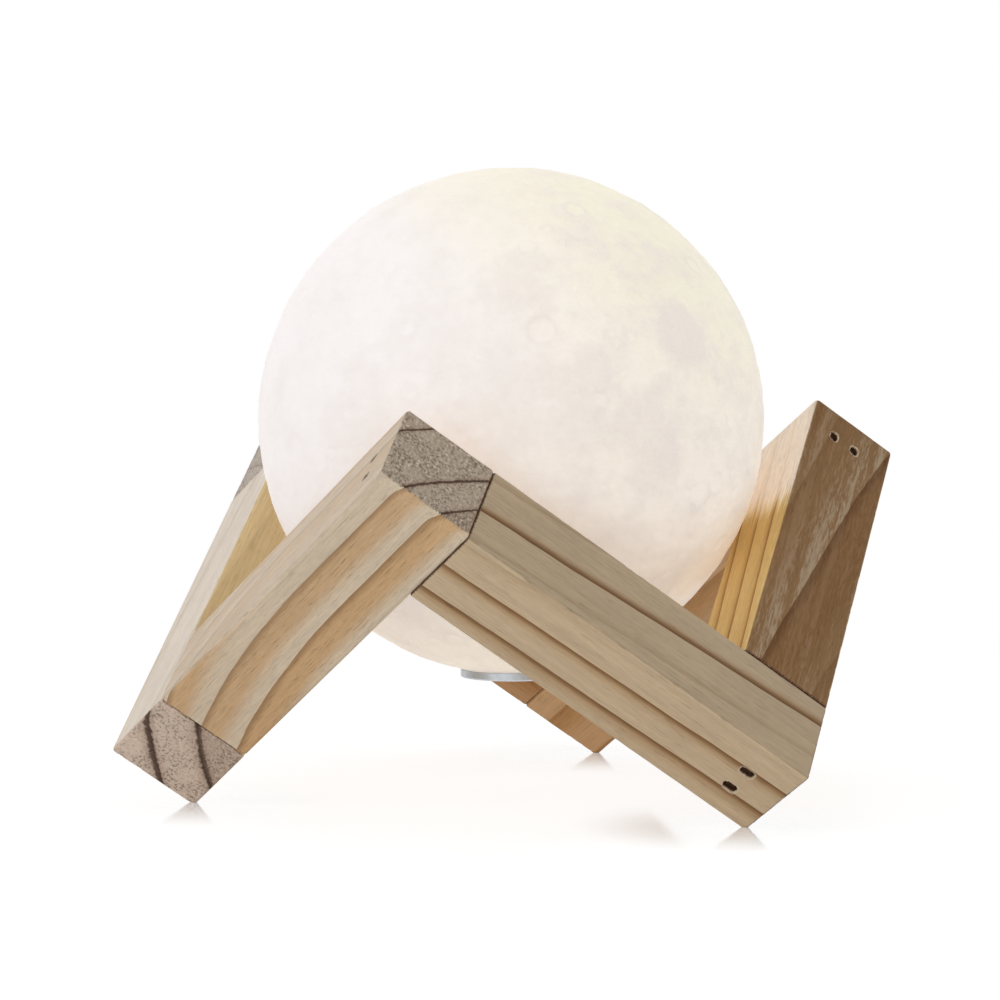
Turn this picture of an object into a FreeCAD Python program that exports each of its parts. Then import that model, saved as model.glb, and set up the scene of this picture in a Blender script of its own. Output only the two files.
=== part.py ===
import FreeCAD, Part
import os
from math import cos, pi, radians, sin, sqrt

import Sketcher

# A moon lamp: a printed globe with a light inside, resting on six square sticks that are
# butt-jointed in a zig-zag ring. The ring follows six edges of a cube that stands on one corner.
# Origin: on the ring's axis, at floor level. +Z is up and the front peak points along -Y.
# All sizes are in millimetres.

SIZES = {
    # sticks
    "stick_width": 29.5,  # square section
    "stick_length": 116.5,  # also the distance between neighbouring joints
    "arris_radius": 1.2,  # long edges
    "butt_arris_radius": 0.45,  # the end that meets the side of the stick before it
    "end_arris_radius": 0.7,  # the end that shows its end grain
    "foot_wear": 1.35,  # how much of each foot's sharp corner is worn to a flat
    # brads
    "brad_pitch": 7.7,
    "brad_length": 50.0,
    "brad_thickness": 1.5,
    "brad_width": 1.6,
    "brad_head_width": 2.8,
    "brad_head_height": 0.8,
    "brad_point": 2.0,
    "brad_sink": 1.3,  # head below the stick's face
    "recess_side": 0.8,  # recess wider than the brad is thick
    "brad_clearance": 0.05,
    # globe
    "globe_radius": 75.0,
    "shell_wall": 1.8,
    "seat_gap": 0.3,  # between the globe and the six edges that hold it
    "neck_wall": 2.0,
    "neck_height": 6.0,  # above the opening's rim
    # base of the light module, measured up from the ring's underside
    "ring_lip": 1.0,  # ring beyond the globe's opening
    "ring_height": 2.3,
    "ring_edge_radius": 0.5,
    "fit_clearance": 0.1,
    "barrel_fit": 0.2,  # barrel in the globe's neck
    "barrel_wall": 1.7,
    "cap_recess": 0.4,
    "cap_thickness": 2.0,
    "ledge_width": 1.5,
    "ledge_thickness": 1.2,
    "ledge_clearance": 0.1,  # above the board's chips
    # cap screws and the posts they enter
    "post_bite": 0.2,  # how far a post runs into the barrel's wall
    "post_radius": 2.9,
    "screw_radius": 0.95,
    "screw_head_radius": 1.75,
    "screw_head_height": 1.2,
    "screw_length": 5.0,
    "counterbore_depth": 1.3,
    # control board and what it carries
    "board_gap": 0.5,
    "board_thickness": 1.0,
    "socket_offset": 5.6,
    "socket_width": 8.9,
    "socket_depth": 3.2,
    "socket_wall": 0.3,
    "socket_recess": 0.6,
    "tongue_width": 6.6,
    "tongue_thickness": 0.7,
    "button_offset": 4.4,
    "button_radius": 3.0,
    "button_gap": 0.25,
    "button_flange_width": 0.9,
    "button_flange_height": 0.8,
    "button_travel": 0.5,
    "switch_size": 6.0,
    "switch_height": 3.4,
    "plunger_radius": 1.7,
    "plunger_height": 1.35,  # from the button to the switch's face
    "lens_offset": 8.6,
    "lens_radius": 1.0,
    "lens_gap": 0.4,
    "charge_led_size": 1.6,
    "charge_led_height": 0.8,
    "chip_offset": 4.6,
    "chip_width": 4.0,
    "chip_length": 5.0,
    "chip_height": 1.4,
    # battery
    "cell_radius": 8.2,
    "cell_length": 34.0,
    "cell_nub_radius": 3.0,
    "cell_nub_height": 0.6,
    "cradle_clearance": 0.1,
    "cradle_wall": 0.9,
    "cradle_height": 28.0,
    "cradle_floor": 1.2,
    "window_clearance": 0.5,
    "tab_thickness": 0.3,
    "tab_width": 4.0,
    "lead_radius": 0.5,
    "lead_hole_clearance": 0.15,
    "lead_way_clearance": 0.25,
    "pad_radius": 7.0,
    "pad_thickness": 2.0,
    # light at the barrel's top
    "carrier_thickness": 2.0,
    "carrier_plug_depth": 3.0,
    "led_board_gap": 1.6,  # inside the dome
    "led_board_thickness": 1.6,
    "led_circle_radius": 5.2,
    "led_length": 3.5,
    "led_width": 2.8,
    "led_height": 0.9,
    "carrier_screw_inset": 2.4,  # from the light board's edge
    "carrier_screw_length": 3.0,
    "dome_wall": 1.2,
    "dome_inset": 0.2,
}

# Sizes that differ from stick to stick, in the ring's order: the round on the show end's lower edge,
# how much longer a brad's recess is than its head, and where the pair of brads enters it.
STICK_KEYS = ("heel_round", "recess_play", "brad_setback", "brad_shift")
STICKS = {
    "front_left": (3.5, 0.4, 12.5, 0.0),
    "front_right": (0.0, 2.6, 13.3, -0.4),
    "right": (0.0, 0.4, 10.9, 1.9),
    "rear_right": (0.0, 0.4, 12.5, 0.5),
    "rear_left": (0.0, 1.6, 13.0, -0.8),
    "left": (0.0, 0.4, 12.0, 0.3),
}
STICK_ORDER = list(STICKS)
LED_COUNT = 6

UP = FreeCAD.Vector(0, 0, 1)

doc = FreeCAD.newDocument("moon_lamp")
sheet = doc.addObject("Spreadsheet::Sheet", "Sizes")
parts = []


# ---------------------------------------------------------------- sizes and expressions

class Size:
    """A length with its value and the expression that binds it to the sheet."""

    def __init__(self, value, text=None):
        self.value = float(value)
        self.text = text or repr(float(value))

    def _join(self, other, sign, value):
        return Size(value, f"({self.text} {sign} {as_size(other).text})")

    def __add__(self, other):
        return self._join(other, "+", self.value + as_size(other).value)

    def __sub__(self, other):
        return self._join(other, "-", self.value - as_size(other).value)

    def __mul__(self, other):
        return self._join(other, "*", self.value * as_size(other).value)

    def __truediv__(self, other):
        return self._join(other, "/", self.value / as_size(other).value)

    def __neg__(self):
        return self * -1


def as_size(number):
    return number if isinstance(number, Size) else Size(number)


def root(size):
    return Size(sqrt(size.value), f"sqrt({size.text})")


class Cells:
    """Gives each cell of the sheet as a Size under its alias."""

    def __init__(self):
        self.count = 0

    def add(self, alias, number):
        self.count += 1
        sheet.set(f"A{self.count}", alias)
        sheet.set(f"B{self.count}", str(number))
        sheet.setAlias(f"B{self.count}", alias)
        setattr(self, alias, Size(number, f"Sizes.{alias}"))


S = Cells()
for size_name, number in SIZES.items():
    S.add(size_name, number)
for stick, sizes in STICKS.items():
    for key, number in zip(STICK_KEYS, sizes):
        S.add(f"{stick}_{key}", number)
doc.recompute()


def bind(thing, prop, size):
    thing.setExpression(prop, as_size(size).text)


# ---------------------------------------------------------------- modelling helpers

def new_body(name, height=None):
    body = doc.addObject("PartDesign::Body", name)
    body.Label = name
    body.AllowCompound = True
    if height is not None:
        bind(body, "Placement.Base.z", height)
    parts.append(body)
    return body


def new_sketch(body, plane, offset=None):
    sketch = body.newObject("Sketcher::SketchObject", body.Name + "_sketch")
    support = [item for item in body.Origin.OriginFeatures if item.Role == plane][0]
    sketch.AttachmentSupport = (support, [""])
    sketch.MapMode = "FlatFace"
    if offset is not None:
        bind(sketch, "AttachmentOffset.Base.z", offset)
    return sketch


def fix_point(sketch, edge, vertex, point):
    for kind, coordinate in zip(("DistanceX", "DistanceY"), point):
        coordinate = as_size(coordinate)
        index = sketch.addConstraint(Sketcher.Constraint(kind, -1, 1, edge, vertex, coordinate.value))
        bind(sketch, f"Constraints[{index}]", coordinate)


def fix_radius(sketch, edge, radius):
    index = sketch.addConstraint(Sketcher.Constraint("Radius", edge, radius.value))
    bind(sketch, f"Constraints[{index}]", radius)


def draw_outline(sketch, points):
    """A closed run of straight lines through points, each bound to its sizes."""
    first = sketch.GeometryCount
    places = [FreeCAD.Vector(as_size(x).value, as_size(y).value, 0) for x, y in points]
    for start, end in zip(places, places[1:] + places[:1]):
        sketch.addGeometry(Part.LineSegment(start, end), False)
    for index in range(len(points)):
        following = (index + 1) % len(points)
        sketch.addConstraint(Sketcher.Constraint("Coincident", first + index, 2, first + following, 1))
    for index, point in enumerate(points):
        fix_point(sketch, first + index, 1, point)


def draw_rectangle(sketch, centre, width, height):
    x, y = as_size(centre[0]), as_size(centre[1])
    dx, dy = as_size(width) / 2, as_size(height) / 2
    draw_outline(sketch, [(x - dx, y - dy), (x + dx, y - dy), (x + dx, y + dy), (x - dx, y + dy)])


def draw_circle(sketch, centre, radius):
    x, y = as_size(centre[0]), as_size(centre[1])
    edge = sketch.addGeometry(Part.Circle(FreeCAD.Vector(x.value, y.value, 0), UP, radius.value), False)
    fix_point(sketch, edge, 3, (x, y))
    fix_radius(sketch, edge, radius)


def draw_ring_sector(sketch, outer, inner, start_angle):
    """The space between two arcs round the origin, from start_angle (0 or -pi/2) to straight up."""
    low = FreeCAD.Vector(cos(start_angle), sin(start_angle), 0)
    high = FreeCAD.Vector(0, 1, 0)
    low_axis = -1 if start_angle == 0 else -2
    for radius in (outer, inner):
        circle = Part.Circle(FreeCAD.Vector(), UP, radius.value)
        sketch.addGeometry(Part.ArcOfCircle(circle, start_angle, pi / 2), False)
    for direction in (low, high):
        sketch.addGeometry(Part.LineSegment(direction * inner.value, direction * outer.value), False)
    for line, arc_end, axis in ((2, 1, low_axis), (3, 2, -2)):
        for arc, line_end in ((1, 1), (0, 2)):
            sketch.addConstraint(Sketcher.Constraint("Coincident", line, line_end, arc, arc_end))
            sketch.addConstraint(Sketcher.Constraint("PointOnObject", line, line_end, axis))
    for arc, radius in ((0, outer), (1, inner)):
        sketch.addConstraint(Sketcher.Constraint("Coincident", arc, 3, -1, 1))
        fix_radius(sketch, arc, radius)


def revolve(body, sketch):
    feature = body.newObject("PartDesign::Revolution", body.Name + "_turn")
    feature.Profile = sketch
    feature.ReferenceAxis = (sketch, ["V_Axis"])
    feature.Angle = 360.0
    return feature


def pad(body, sketch, length):
    feature = body.newObject("PartDesign::Pad", body.Name + "_pad")
    feature.Profile = sketch
    bind(feature, "Length", length)
    return feature


def cut(body, sketch, depth=None, upwards=False):
    """Cuts the sketch into the body: against the plane's normal, or along it if upwards."""
    before = body.Shape.Volume
    feature = body.newObject("PartDesign::Pocket", body.Name + "_cut")
    feature.Profile = sketch
    feature.Reversed = upwards
    if depth is None:
        feature.Type = 1
    else:
        bind(feature, "Length", depth)
    doc.recompute()
    if feature.Shape.Volume >= before:
        raise RuntimeError(f"{body.Label}: a cut removed nothing")
    return feature


def fillet(body, base, edges, radius):
    feature = body.newObject("PartDesign::Fillet", body.Name + "_round")
    feature.Base = (base, edges)
    bind(feature, "Radius", radius)
    doc.recompute()
    return feature


def polar(body, features, count):
    """Repeats features round the body's Z axis."""
    pattern = body.newObject("PartDesign::PolarPattern", body.Name + "_pattern")
    pattern.Originals = features
    axis = [item for item in body.Origin.OriginFeatures if item.Role == "Z_Axis"][0]
    pattern.Axis = (axis, [""])
    pattern.Angle = 360.0
    pattern.Occurrences = count
    body.Tip = pattern
    doc.recompute()


def edges_where(feature, test):
    return [f"Edge{number}" for number, edge in enumerate(feature.Shape.Edges, 1) if test(edge.BoundBox)]


def turned(name, points, height):
    """A body of revolution from (radius, height) points."""
    body = new_body(name, height)
    sketch = new_sketch(body, "XZ_Plane")
    draw_outline(sketch, points)
    revolve(body, sketch)
    doc.recompute()
    return body


def disc(name, radius, low, thickness, height):
    return turned(name, [(0, low), (radius, low), (radius, as_size(low) + thickness),
                         (0, as_size(low) + thickness)], height)


def drill(body, holes, low, depth=None):
    """Round holes, each ((x, y), radius), cut upwards from the level low."""
    sketch = new_sketch(body, "XY_Plane", low)
    for centre, radius in holes:
        draw_circle(sketch, centre, radius)
    return cut(body, sketch, depth, upwards=True)


# ---------------------------------------------------------------- the stand

# Directions of the cube's three edges, all rising from the floor corner.
EDGE_A = FreeCAD.Vector(1 / sqrt(2), -1 / sqrt(6), 1 / sqrt(3))
EDGE_E = FreeCAD.Vector(-1 / sqrt(2), -1 / sqrt(6), 1 / sqrt(3))
EDGE_C = FreeCAD.Vector(0, 2 / sqrt(6), 1 / sqrt(3))
RUNS = [EDGE_A, -EDGE_E, EDGE_C, -EDGE_A, EDGE_E, -EDGE_C]
START = (EDGE_E - EDGE_A - EDGE_C) / 2  # the left foot's joint, for a stick length of 1

half_width = S.stick_width / 2
stand_centre_height = (S.stick_length / (2 * sqrt(3))) + (S.stick_width * (sqrt(3) / 2)) - S.foot_wear


def run_of(index):
    return RUNS[index % len(RUNS)]


def joint_of(index):
    """Joint between stick index - 1 and stick index, for a stick length of 1."""
    place = START
    for step in range(index):
        place = place + run_of(step)
    return place


def place_stick(thing, index):
    run, turn, joint = run_of(index), run_of(index + 1), joint_of(index)
    side = run.cross(turn)
    matrix = FreeCAD.Matrix(run.x, turn.x, side.x, 0, run.y, turn.y, side.y, 0,
                            run.z, turn.z, side.z, 0, 0, 0, 0, 1)
    thing.Placement = FreeCAD.Placement(FreeCAD.Vector(), FreeCAD.Rotation(matrix))
    bind(thing, "Placement.Base.x", S.stick_length * joint.x + half_width * run.x)
    bind(thing, "Placement.Base.y", S.stick_length * joint.y + half_width * run.y)
    bind(thing, "Placement.Base.z", S.stick_length * joint.z + half_width * run.z + stand_centre_height)


def stick_size(index, key):
    return getattr(S, f"{STICK_ORDER[index]}_{key}")


def brad_places(index):
    """(x, z) of the two brads that enter stick index near its show end."""
    along = S.stick_length - stick_size(index, "brad_setback")
    middle = stick_size(index, "brad_shift")
    return [(along, middle - S.brad_pitch / 2), (along, middle + S.brad_pitch / 2)]


def make_stick(index):
    """One stick: X runs from its butt end to its show end, and the next stick leaves along +Y."""
    body = new_body("stick_" + STICK_ORDER[index])
    sketch = new_sketch(body, "YZ_Plane")
    draw_rectangle(sketch, (0, 0), S.stick_width, S.stick_width)
    shape = pad(body, sketch, S.stick_length)
    doc.recompute()
    length, half = S.stick_length.value, half_width.value
    has_heel = stick_size(index, "heel_round").value > 0
    if has_heel:
        heel = edges_where(shape, lambda box: box.XMin > length - 0.1 and box.ZMax < 0.1 - half)
        shape = fillet(body, shape, heel, stick_size(index, "heel_round"))
    long_edges = edges_where(shape, lambda box: box.XLength > length / 2)
    shape = fillet(body, shape, long_edges, S.arris_radius)
    butt = edges_where(shape, lambda box: box.XMax < 0.01)
    shape = fillet(body, shape, butt[:1], S.butt_arris_radius)
    if has_heel:
        show = edges_where(shape, lambda box: box.XMin > length - 0.01 and box.ZMin > half - 0.01)
    else:
        show = edges_where(shape, lambda box: box.XMin > length - 0.01)[:1]
    shape = fillet(body, shape, show, S.end_arris_radius)

    recess = new_sketch(body, "XZ_Plane", half_width)
    shanks = new_sketch(body, "XZ_Plane", half_width)
    for centre in brad_places(index):
        draw_rectangle(recess, centre, S.brad_head_width + stick_size(index, "recess_play"),
                       S.brad_thickness + S.recess_side)
        draw_rectangle(shanks, centre, S.brad_width + S.brad_clearance * 2,
                       S.brad_thickness + S.brad_clearance * 2)
    cut(body, recess, S.brad_sink + S.brad_head_height)
    cut(body, shanks)

    before = (index - 1) % len(STICKS)
    sign = 1 if index % 2 else -1
    tips = new_sketch(body, "YZ_Plane")
    for along, across in brad_places(before):
        centre = (across * sign, (half_width - S.stick_length + along) * sign)
        draw_rectangle(tips, centre, S.brad_thickness + S.brad_clearance * 2,
                       S.brad_width + S.brad_clearance * 2)
    cut(body, tips, S.brad_sink + S.brad_length - S.stick_width + S.brad_clearance * 8, upwards=True)
    if index % 2:
        wear_foot(body)
    place_stick(body, index)


def wear_foot(body):
    """Cuts the corner that meets the floor to a small level flat."""
    tool = body.newObject("PartDesign::SubtractiveBox", body.Name + "_wear")
    down = FreeCAD.Vector(1, -1, -1) / sqrt(3)
    side = FreeCAD.Vector(0, 1, -1) / sqrt(2)
    turn = FreeCAD.Rotation(side, down.cross(side), down, "ZXY")
    for prop, size in zip(("Length", "Width", "Height"), (S.stick_width, S.stick_width, S.foot_wear * 2)):
        bind(tool, prop, size)
    tool.Placement = FreeCAD.Placement(FreeCAD.Vector(), turn)
    corner = (S.stick_length, -half_width, -half_width)
    other = down.cross(side)
    for axis, place in zip("xyz", corner):
        shift = half_width * (getattr(side, axis) + getattr(other, axis))
        bind(tool, f"Placement.Base.{axis}", place - S.foot_wear * getattr(down, axis) - shift)
    doc.recompute()


def make_brads():
    """Twelve T-headed brads, two at each joint, as separate solids."""
    solids = []
    head = S.brad_sink.value - half_width.value
    neck = head + S.brad_head_height.value
    tip = head + S.brad_length.value
    shoulder = tip - S.brad_point.value
    wide, narrow = S.brad_head_width.value / 2, S.brad_width.value / 2
    outline = [(-wide, head), (wide, head), (wide, neck), (narrow, neck), (narrow, shoulder), (0, tip),
               (-narrow, shoulder), (-narrow, neck), (-wide, neck), (-wide, head)]
    face = Part.Face(Part.makePolygon([FreeCAD.Vector(x, y, 0) for x, y in outline]))
    brad = face.extrude(FreeCAD.Vector(0, 0, S.brad_thickness.value))
    for index in range(len(STICKS)):
        frame = doc.getObject("stick_" + STICK_ORDER[index]).Placement
        for along, across in brad_places(index):
            copy = brad.copy()
            middle = across.value - S.brad_thickness.value / 2
            copy.Placement = frame * FreeCAD.Placement(
                FreeCAD.Vector(along.value, 0, middle), FreeCAD.Rotation())
            solids.append(copy)
    feature = doc.addObject("Part::Feature", "brads")
    feature.Label = "brads"
    feature.Shape = Part.makeCompound(solids)
    parts.append(feature)


for stick_index in range(len(STICKS)):
    make_stick(stick_index)
doc.recompute()
make_brads()


# ---------------------------------------------------------------- the globe

# The globe touches the rounded inner upper edges of all six sticks at one height.
edge_reach = (S.stick_length - S.stick_width) / 2 + S.arris_radius
contact_radius = S.globe_radius + S.seat_gap + S.arris_radius
globe_rise = root((contact_radius * contact_radius - edge_reach * edge_reach * 2) * 1.5)
globe_height = stand_centre_height + globe_rise

# Radii from the battery cell outwards to the globe's opening and the ring that hides it.
cradle_radius = S.cell_radius + S.cradle_clearance + S.cradle_wall
lead_offset = cradle_radius + S.lead_radius + S.lead_hole_clearance
lead_way_radius = lead_offset + S.lead_radius + S.lead_way_clearance
bore_radius = lead_way_radius + S.ledge_width
barrel_radius = bore_radius + S.barrel_wall
opening_radius = barrel_radius + S.barrel_fit
ring_bore_radius = bore_radius - S.fit_clearance
rim_drop = root(S.globe_radius * S.globe_radius - opening_radius * opening_radius)
base_height = globe_height - rim_drop - S.ring_height


def make_shell():
    """The hollow globe, with a short neck standing inside round the opening at its bottom."""
    body = new_body("moon_shell", globe_height)
    sketch = new_sketch(body, "XZ_Plane")
    inner_radius = S.globe_radius - S.shell_wall
    neck_radius = opening_radius + S.neck_wall
    draw_ring_sector(sketch, S.globe_radius, inner_radius, -pi / 2)
    revolve(body, sketch)
    doc.recompute()
    neck_low = -root(inner_radius * inner_radius - neck_radius * neck_radius) - S.shell_wall / 2
    neck = new_sketch(body, "XY_Plane", neck_low)
    draw_circle(neck, (0, 0), neck_radius)
    pad(body, neck, S.neck_height - rim_drop - neck_low)
    doc.recompute()
    drill(body, [((0, 0), opening_radius)], -S.globe_radius, S.globe_radius / 2)


make_shell()


# ---------------------------------------------------------------- the light module

# Levels above the ring's underside, from the bottom up.
cap_low = S.cap_recess
cap_top = S.cap_recess + S.cap_thickness
flange_low = cap_top + S.button_gap
flange_top = flange_low + S.button_flange_height
post_top = flange_top + S.plunger_height + S.switch_height
board_top = post_top + S.board_thickness
ledge_low = board_top + S.chip_height + S.ledge_clearance
ledge_top = ledge_low + S.ledge_thickness
cell_low = ledge_top + S.cradle_floor
cell_top = cell_low + S.cell_length
nub_top = cell_top + S.cell_nub_height
tab_top = nub_top + S.tab_thickness
barrel_top = tab_top + S.pad_thickness
carrier_top = barrel_top + S.carrier_thickness
led_board_top = carrier_top + S.led_board_thickness

post_offset = bore_radius + S.post_bite - S.post_radius
lead_hole_radius = S.lead_radius + S.lead_hole_clearance
dome_radius = barrel_radius - S.dome_inset
led_board_radius = dome_radius - S.dome_wall - S.led_board_gap
carrier_screw_offset = led_board_radius - S.carrier_screw_inset


def around(offset, degrees):
    return (offset * cos(radians(degrees)), offset * sin(radians(degrees)))


LAMP_LEAD_ANGLES = (60, 120)
CELL_LEAD_ANGLE = 270
LENS_ANGLE = 40
high_lead_places = [around(lead_offset, angle) for angle in LAMP_LEAD_ANGLES + (CELL_LEAD_ANGLE,)]
lens_place = around(S.lens_offset, LENS_ANGLE)
post_places = [(post_offset, 0), (-post_offset, 0)]
carrier_screw_places = [(carrier_screw_offset, 0), (-carrier_screw_offset, 0)]


def make_base_ring():
    ring_radius = opening_radius + S.ring_lip
    body = turned("base_ring", [(ring_bore_radius, 0), (ring_radius, 0), (ring_radius, S.ring_height),
                                (ring_bore_radius, S.ring_height)], base_height)
    low = edges_where(body.Tip, lambda box: box.ZMax < 0.01 and box.XLength > 0)
    fillet(body, body.Tip, low, S.ring_edge_radius)


def make_barrel():
    """A tube with an inner ledge for the battery cradle and two posts for the cap's screws."""
    body = turned("base_barrel", [
        (bore_radius, S.ring_height), (barrel_radius, S.ring_height), (barrel_radius, barrel_top),
        (bore_radius, barrel_top), (bore_radius, ledge_top), (lead_way_radius, ledge_top),
        (lead_way_radius, ledge_low), (bore_radius, ledge_low)], base_height)
    sketch = new_sketch(body, "XY_Plane", cap_top)
    for centre in post_places:
        draw_circle(sketch, centre, S.post_radius)
    pad(body, sketch, post_top - cap_top)
    doc.recompute()
    drill(body, [(centre, S.screw_radius) for centre in post_places], cap_top, post_top - cap_top)


def make_cap():
    radius = ring_bore_radius - S.fit_clearance
    body = disc("base_cap", radius, cap_low, S.cap_thickness, base_height)
    drill(body, [(centre, S.screw_head_radius + S.fit_clearance) for centre in post_places],
          cap_low, S.counterbore_depth)
    drill(body, [(centre, S.screw_radius + S.fit_clearance) for centre in post_places], cap_low)
    drill(body, [((0, S.button_offset), S.button_radius + S.button_gap)], cap_low)
    drill(body, [(lens_place, S.lens_radius + S.fit_clearance / 2)], cap_low)
    slot = new_sketch(body, "XY_Plane", cap_low)
    draw_rectangle(slot, (0, -S.socket_offset), S.socket_width + S.button_gap * 2,
                   S.socket_depth + S.button_gap * 2)
    cut(body, slot, upwards=True)


def screws(name, offset, head_low, head_up, length):
    """Two pan screws: heads from head_low to head_up, shanks of the given signed length."""
    body = new_body(name, base_height)
    sketch = new_sketch(body, "XY_Plane", head_low)
    draw_circle(sketch, (offset, 0), S.screw_head_radius)
    head = pad(body, sketch, S.screw_head_height)
    shank_sketch = new_sketch(body, "XY_Plane", head_up)
    draw_circle(shank_sketch, (offset, 0), S.screw_radius)
    shank = pad(body, shank_sketch, length)
    doc.recompute()
    polar(body, [head, shank], 2)


def make_socket():
    """An upright charging socket: a flat tube closed at the board, with a tongue inside."""
    low = S.socket_recess
    height = post_top - low
    body = new_body("charge_socket", base_height)
    sketch = new_sketch(body, "XY_Plane", low)
    draw_rectangle(sketch, (0, -S.socket_offset), S.socket_width, S.socket_depth)
    shell = pad(body, sketch, height)
    doc.recompute()
    corners = edges_where(shell, lambda box: box.ZLength > 1)
    fillet(body, shell, corners, S.socket_depth * 0.45)
    hollow = new_sketch(body, "XY_Plane", low)
    inner = (S.socket_width - S.socket_wall * 2, S.socket_depth - S.socket_wall * 2)
    draw_rectangle(hollow, (0, -S.socket_offset), inner[0] - S.socket_depth / 2, inner[1])
    cut(body, hollow, height - S.socket_wall * 3, upwards=True)
    tongue = new_sketch(body, "XY_Plane", low + S.socket_wall)
    draw_rectangle(tongue, (0, -S.socket_offset), S.tongue_width, S.tongue_thickness)
    pad(body, tongue, height - S.socket_wall)
    doc.recompute()


def make_switch():
    """A small press switch under the board; its plunger stands in a blind hole."""
    low = post_top - S.switch_height
    body = new_body("switch_body", base_height)
    sketch = new_sketch(body, "XY_Plane", low)
    draw_rectangle(sketch, (0, S.button_offset), S.switch_size, S.switch_size)
    pad(body, sketch, S.switch_height)
    doc.recompute()
    drill(body, [((0, S.button_offset), S.plunger_radius + S.button_gap)], low, S.switch_height * 0.75)

    flange_radius = S.button_radius + S.button_flange_width
    button = turned("mode_button", [
        (0, cap_low), (S.button_radius, cap_low), (S.button_radius, flange_low),
        (flange_radius, flange_low), (flange_radius, flange_top), (0, flange_top)], base_height)
    bind(button, "Placement.Base.y", S.button_offset)
    reach = low + S.switch_height * 0.75 - S.button_travel - S.button_gap - flange_top
    plunger = disc("switch_plunger", S.plunger_radius, flange_top, reach, base_height)
    bind(plunger, "Placement.Base.y", S.button_offset)


def make_board():
    """The control board with its chips, the charge light and the light pipe below it."""
    disc("control_board", bore_radius - S.board_gap, post_top, S.board_thickness, base_height)
    chips = new_body("control_chips", base_height)
    sketch = new_sketch(chips, "XY_Plane", board_top)
    draw_rectangle(sketch, (S.chip_offset, S.chip_offset), S.chip_width, S.chip_length)
    draw_rectangle(sketch, (-S.chip_offset, S.chip_offset), S.chip_width, S.chip_length)
    draw_rectangle(sketch, (-S.chip_offset, -S.chip_offset), S.chip_length, S.chip_width)
    pad(chips, sketch, S.chip_height)
    light = new_body("charge_led", base_height)
    sketch = new_sketch(light, "XY_Plane", post_top - S.charge_led_height)
    draw_rectangle(sketch, lens_place, S.charge_led_size, S.charge_led_size)
    pad(light, sketch, S.charge_led_height)
    lens = new_body("indicator_lens", base_height)
    sketch = new_sketch(lens, "XY_Plane", cap_low)
    draw_circle(sketch, lens_place, S.lens_radius)
    pad(lens, sketch, post_top - S.charge_led_height - S.lens_gap - cap_low)
    doc.recompute()


def make_battery():
    inner = S.cell_radius + S.cradle_clearance
    floor_radius = bore_radius - S.fit_clearance
    window_radius = S.tab_width * (sqrt(5) / 2) + S.window_clearance
    cradle_top = cell_low + S.cradle_height
    cradle = turned("battery_cradle", [
        (window_radius, ledge_top), (floor_radius, ledge_top), (floor_radius, cell_low),
        (cradle_radius, cell_low), (cradle_radius, cradle_top), (inner, cradle_top),
        (inner, cell_low), (window_radius, cell_low)], base_height)
    drill(cradle, [(place, lead_hole_radius) for place in high_lead_places], ledge_top, S.cradle_floor)

    turned("battery_cell", [
        (0, cell_low), (S.cell_radius, cell_low), (S.cell_radius, cell_top),
        (S.cell_nub_radius, cell_top), (S.cell_nub_radius, nub_top), (0, nub_top)], base_height)

    tabs = new_body("cell_tabs", base_height)
    low_tab = new_sketch(tabs, "XY_Plane", cell_low - S.tab_thickness)
    draw_rectangle(low_tab, (0, 0), S.tab_width * 2, S.tab_width)
    pad(tabs, low_tab, S.tab_thickness)
    high_tab = new_sketch(tabs, "XY_Plane", nub_top)
    reach = lead_offset + S.lead_radius
    draw_rectangle(high_tab, (0, (S.cell_nub_radius - reach) / 2), S.tab_width, S.cell_nub_radius + reach)
    pad(tabs, high_tab, S.tab_thickness)

    leads = new_body("battery_leads", base_height)
    sketch = new_sketch(leads, "XY_Plane", board_top)
    draw_circle(sketch, (S.tab_width - S.lead_radius * 2, 0), S.lead_radius)
    pad(leads, sketch, cell_low - S.tab_thickness - board_top)
    sketch = new_sketch(leads, "XY_Plane", board_top)
    draw_circle(sketch, high_lead_places[-1], S.lead_radius)
    pad(leads, sketch, nub_top - board_top)

    disc("cell_pad", S.pad_radius, tab_top, barrel_top - tab_top, base_height)
    doc.recompute()


def make_light():
    plug_radius = bore_radius - S.fit_clearance
    plug_low = barrel_top - S.carrier_plug_depth
    carrier = turned("led_carrier", [
        (0, barrel_top), (lead_way_radius, barrel_top), (lead_way_radius, plug_low),
        (plug_radius, plug_low), (plug_radius, barrel_top), (barrel_radius, barrel_top),
        (barrel_radius, carrier_top), (0, carrier_top)], base_height)
    drill(carrier, [(place, lead_hole_radius) for place in high_lead_places[:2]], barrel_top)
    drill(carrier, [(place, S.screw_radius) for place in carrier_screw_places], barrel_top)

    board = disc("led_board", led_board_radius, carrier_top, S.led_board_thickness, base_height)
    drill(board, [(place, S.screw_radius + S.fit_clearance) for place in carrier_screw_places], carrier_top)

    chips = new_body("led_chips", base_height)
    sketch = new_sketch(chips, "XY_Plane", led_board_top)
    draw_rectangle(sketch, (0, S.led_circle_radius), S.led_length, S.led_width)
    chip = pad(chips, sketch, S.led_height)
    doc.recompute()
    polar(chips, [chip], LED_COUNT)

    leads = new_body("lamp_leads", base_height)
    sketch = new_sketch(leads, "XY_Plane", board_top)
    for place in high_lead_places[:2]:
        draw_circle(sketch, place, S.lead_radius)
    pad(leads, sketch, carrier_top - board_top)
    doc.recompute()


def make_dome():
    """A frosted half sphere over the lights, standing on the carrier's rim."""
    body = new_body("diffuser_dome", base_height + carrier_top)
    sketch = new_sketch(body, "XZ_Plane")
    draw_ring_sector(sketch, dome_radius, dome_radius - S.dome_wall, 0)
    revolve(body, sketch)
    doc.recompute()


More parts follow.
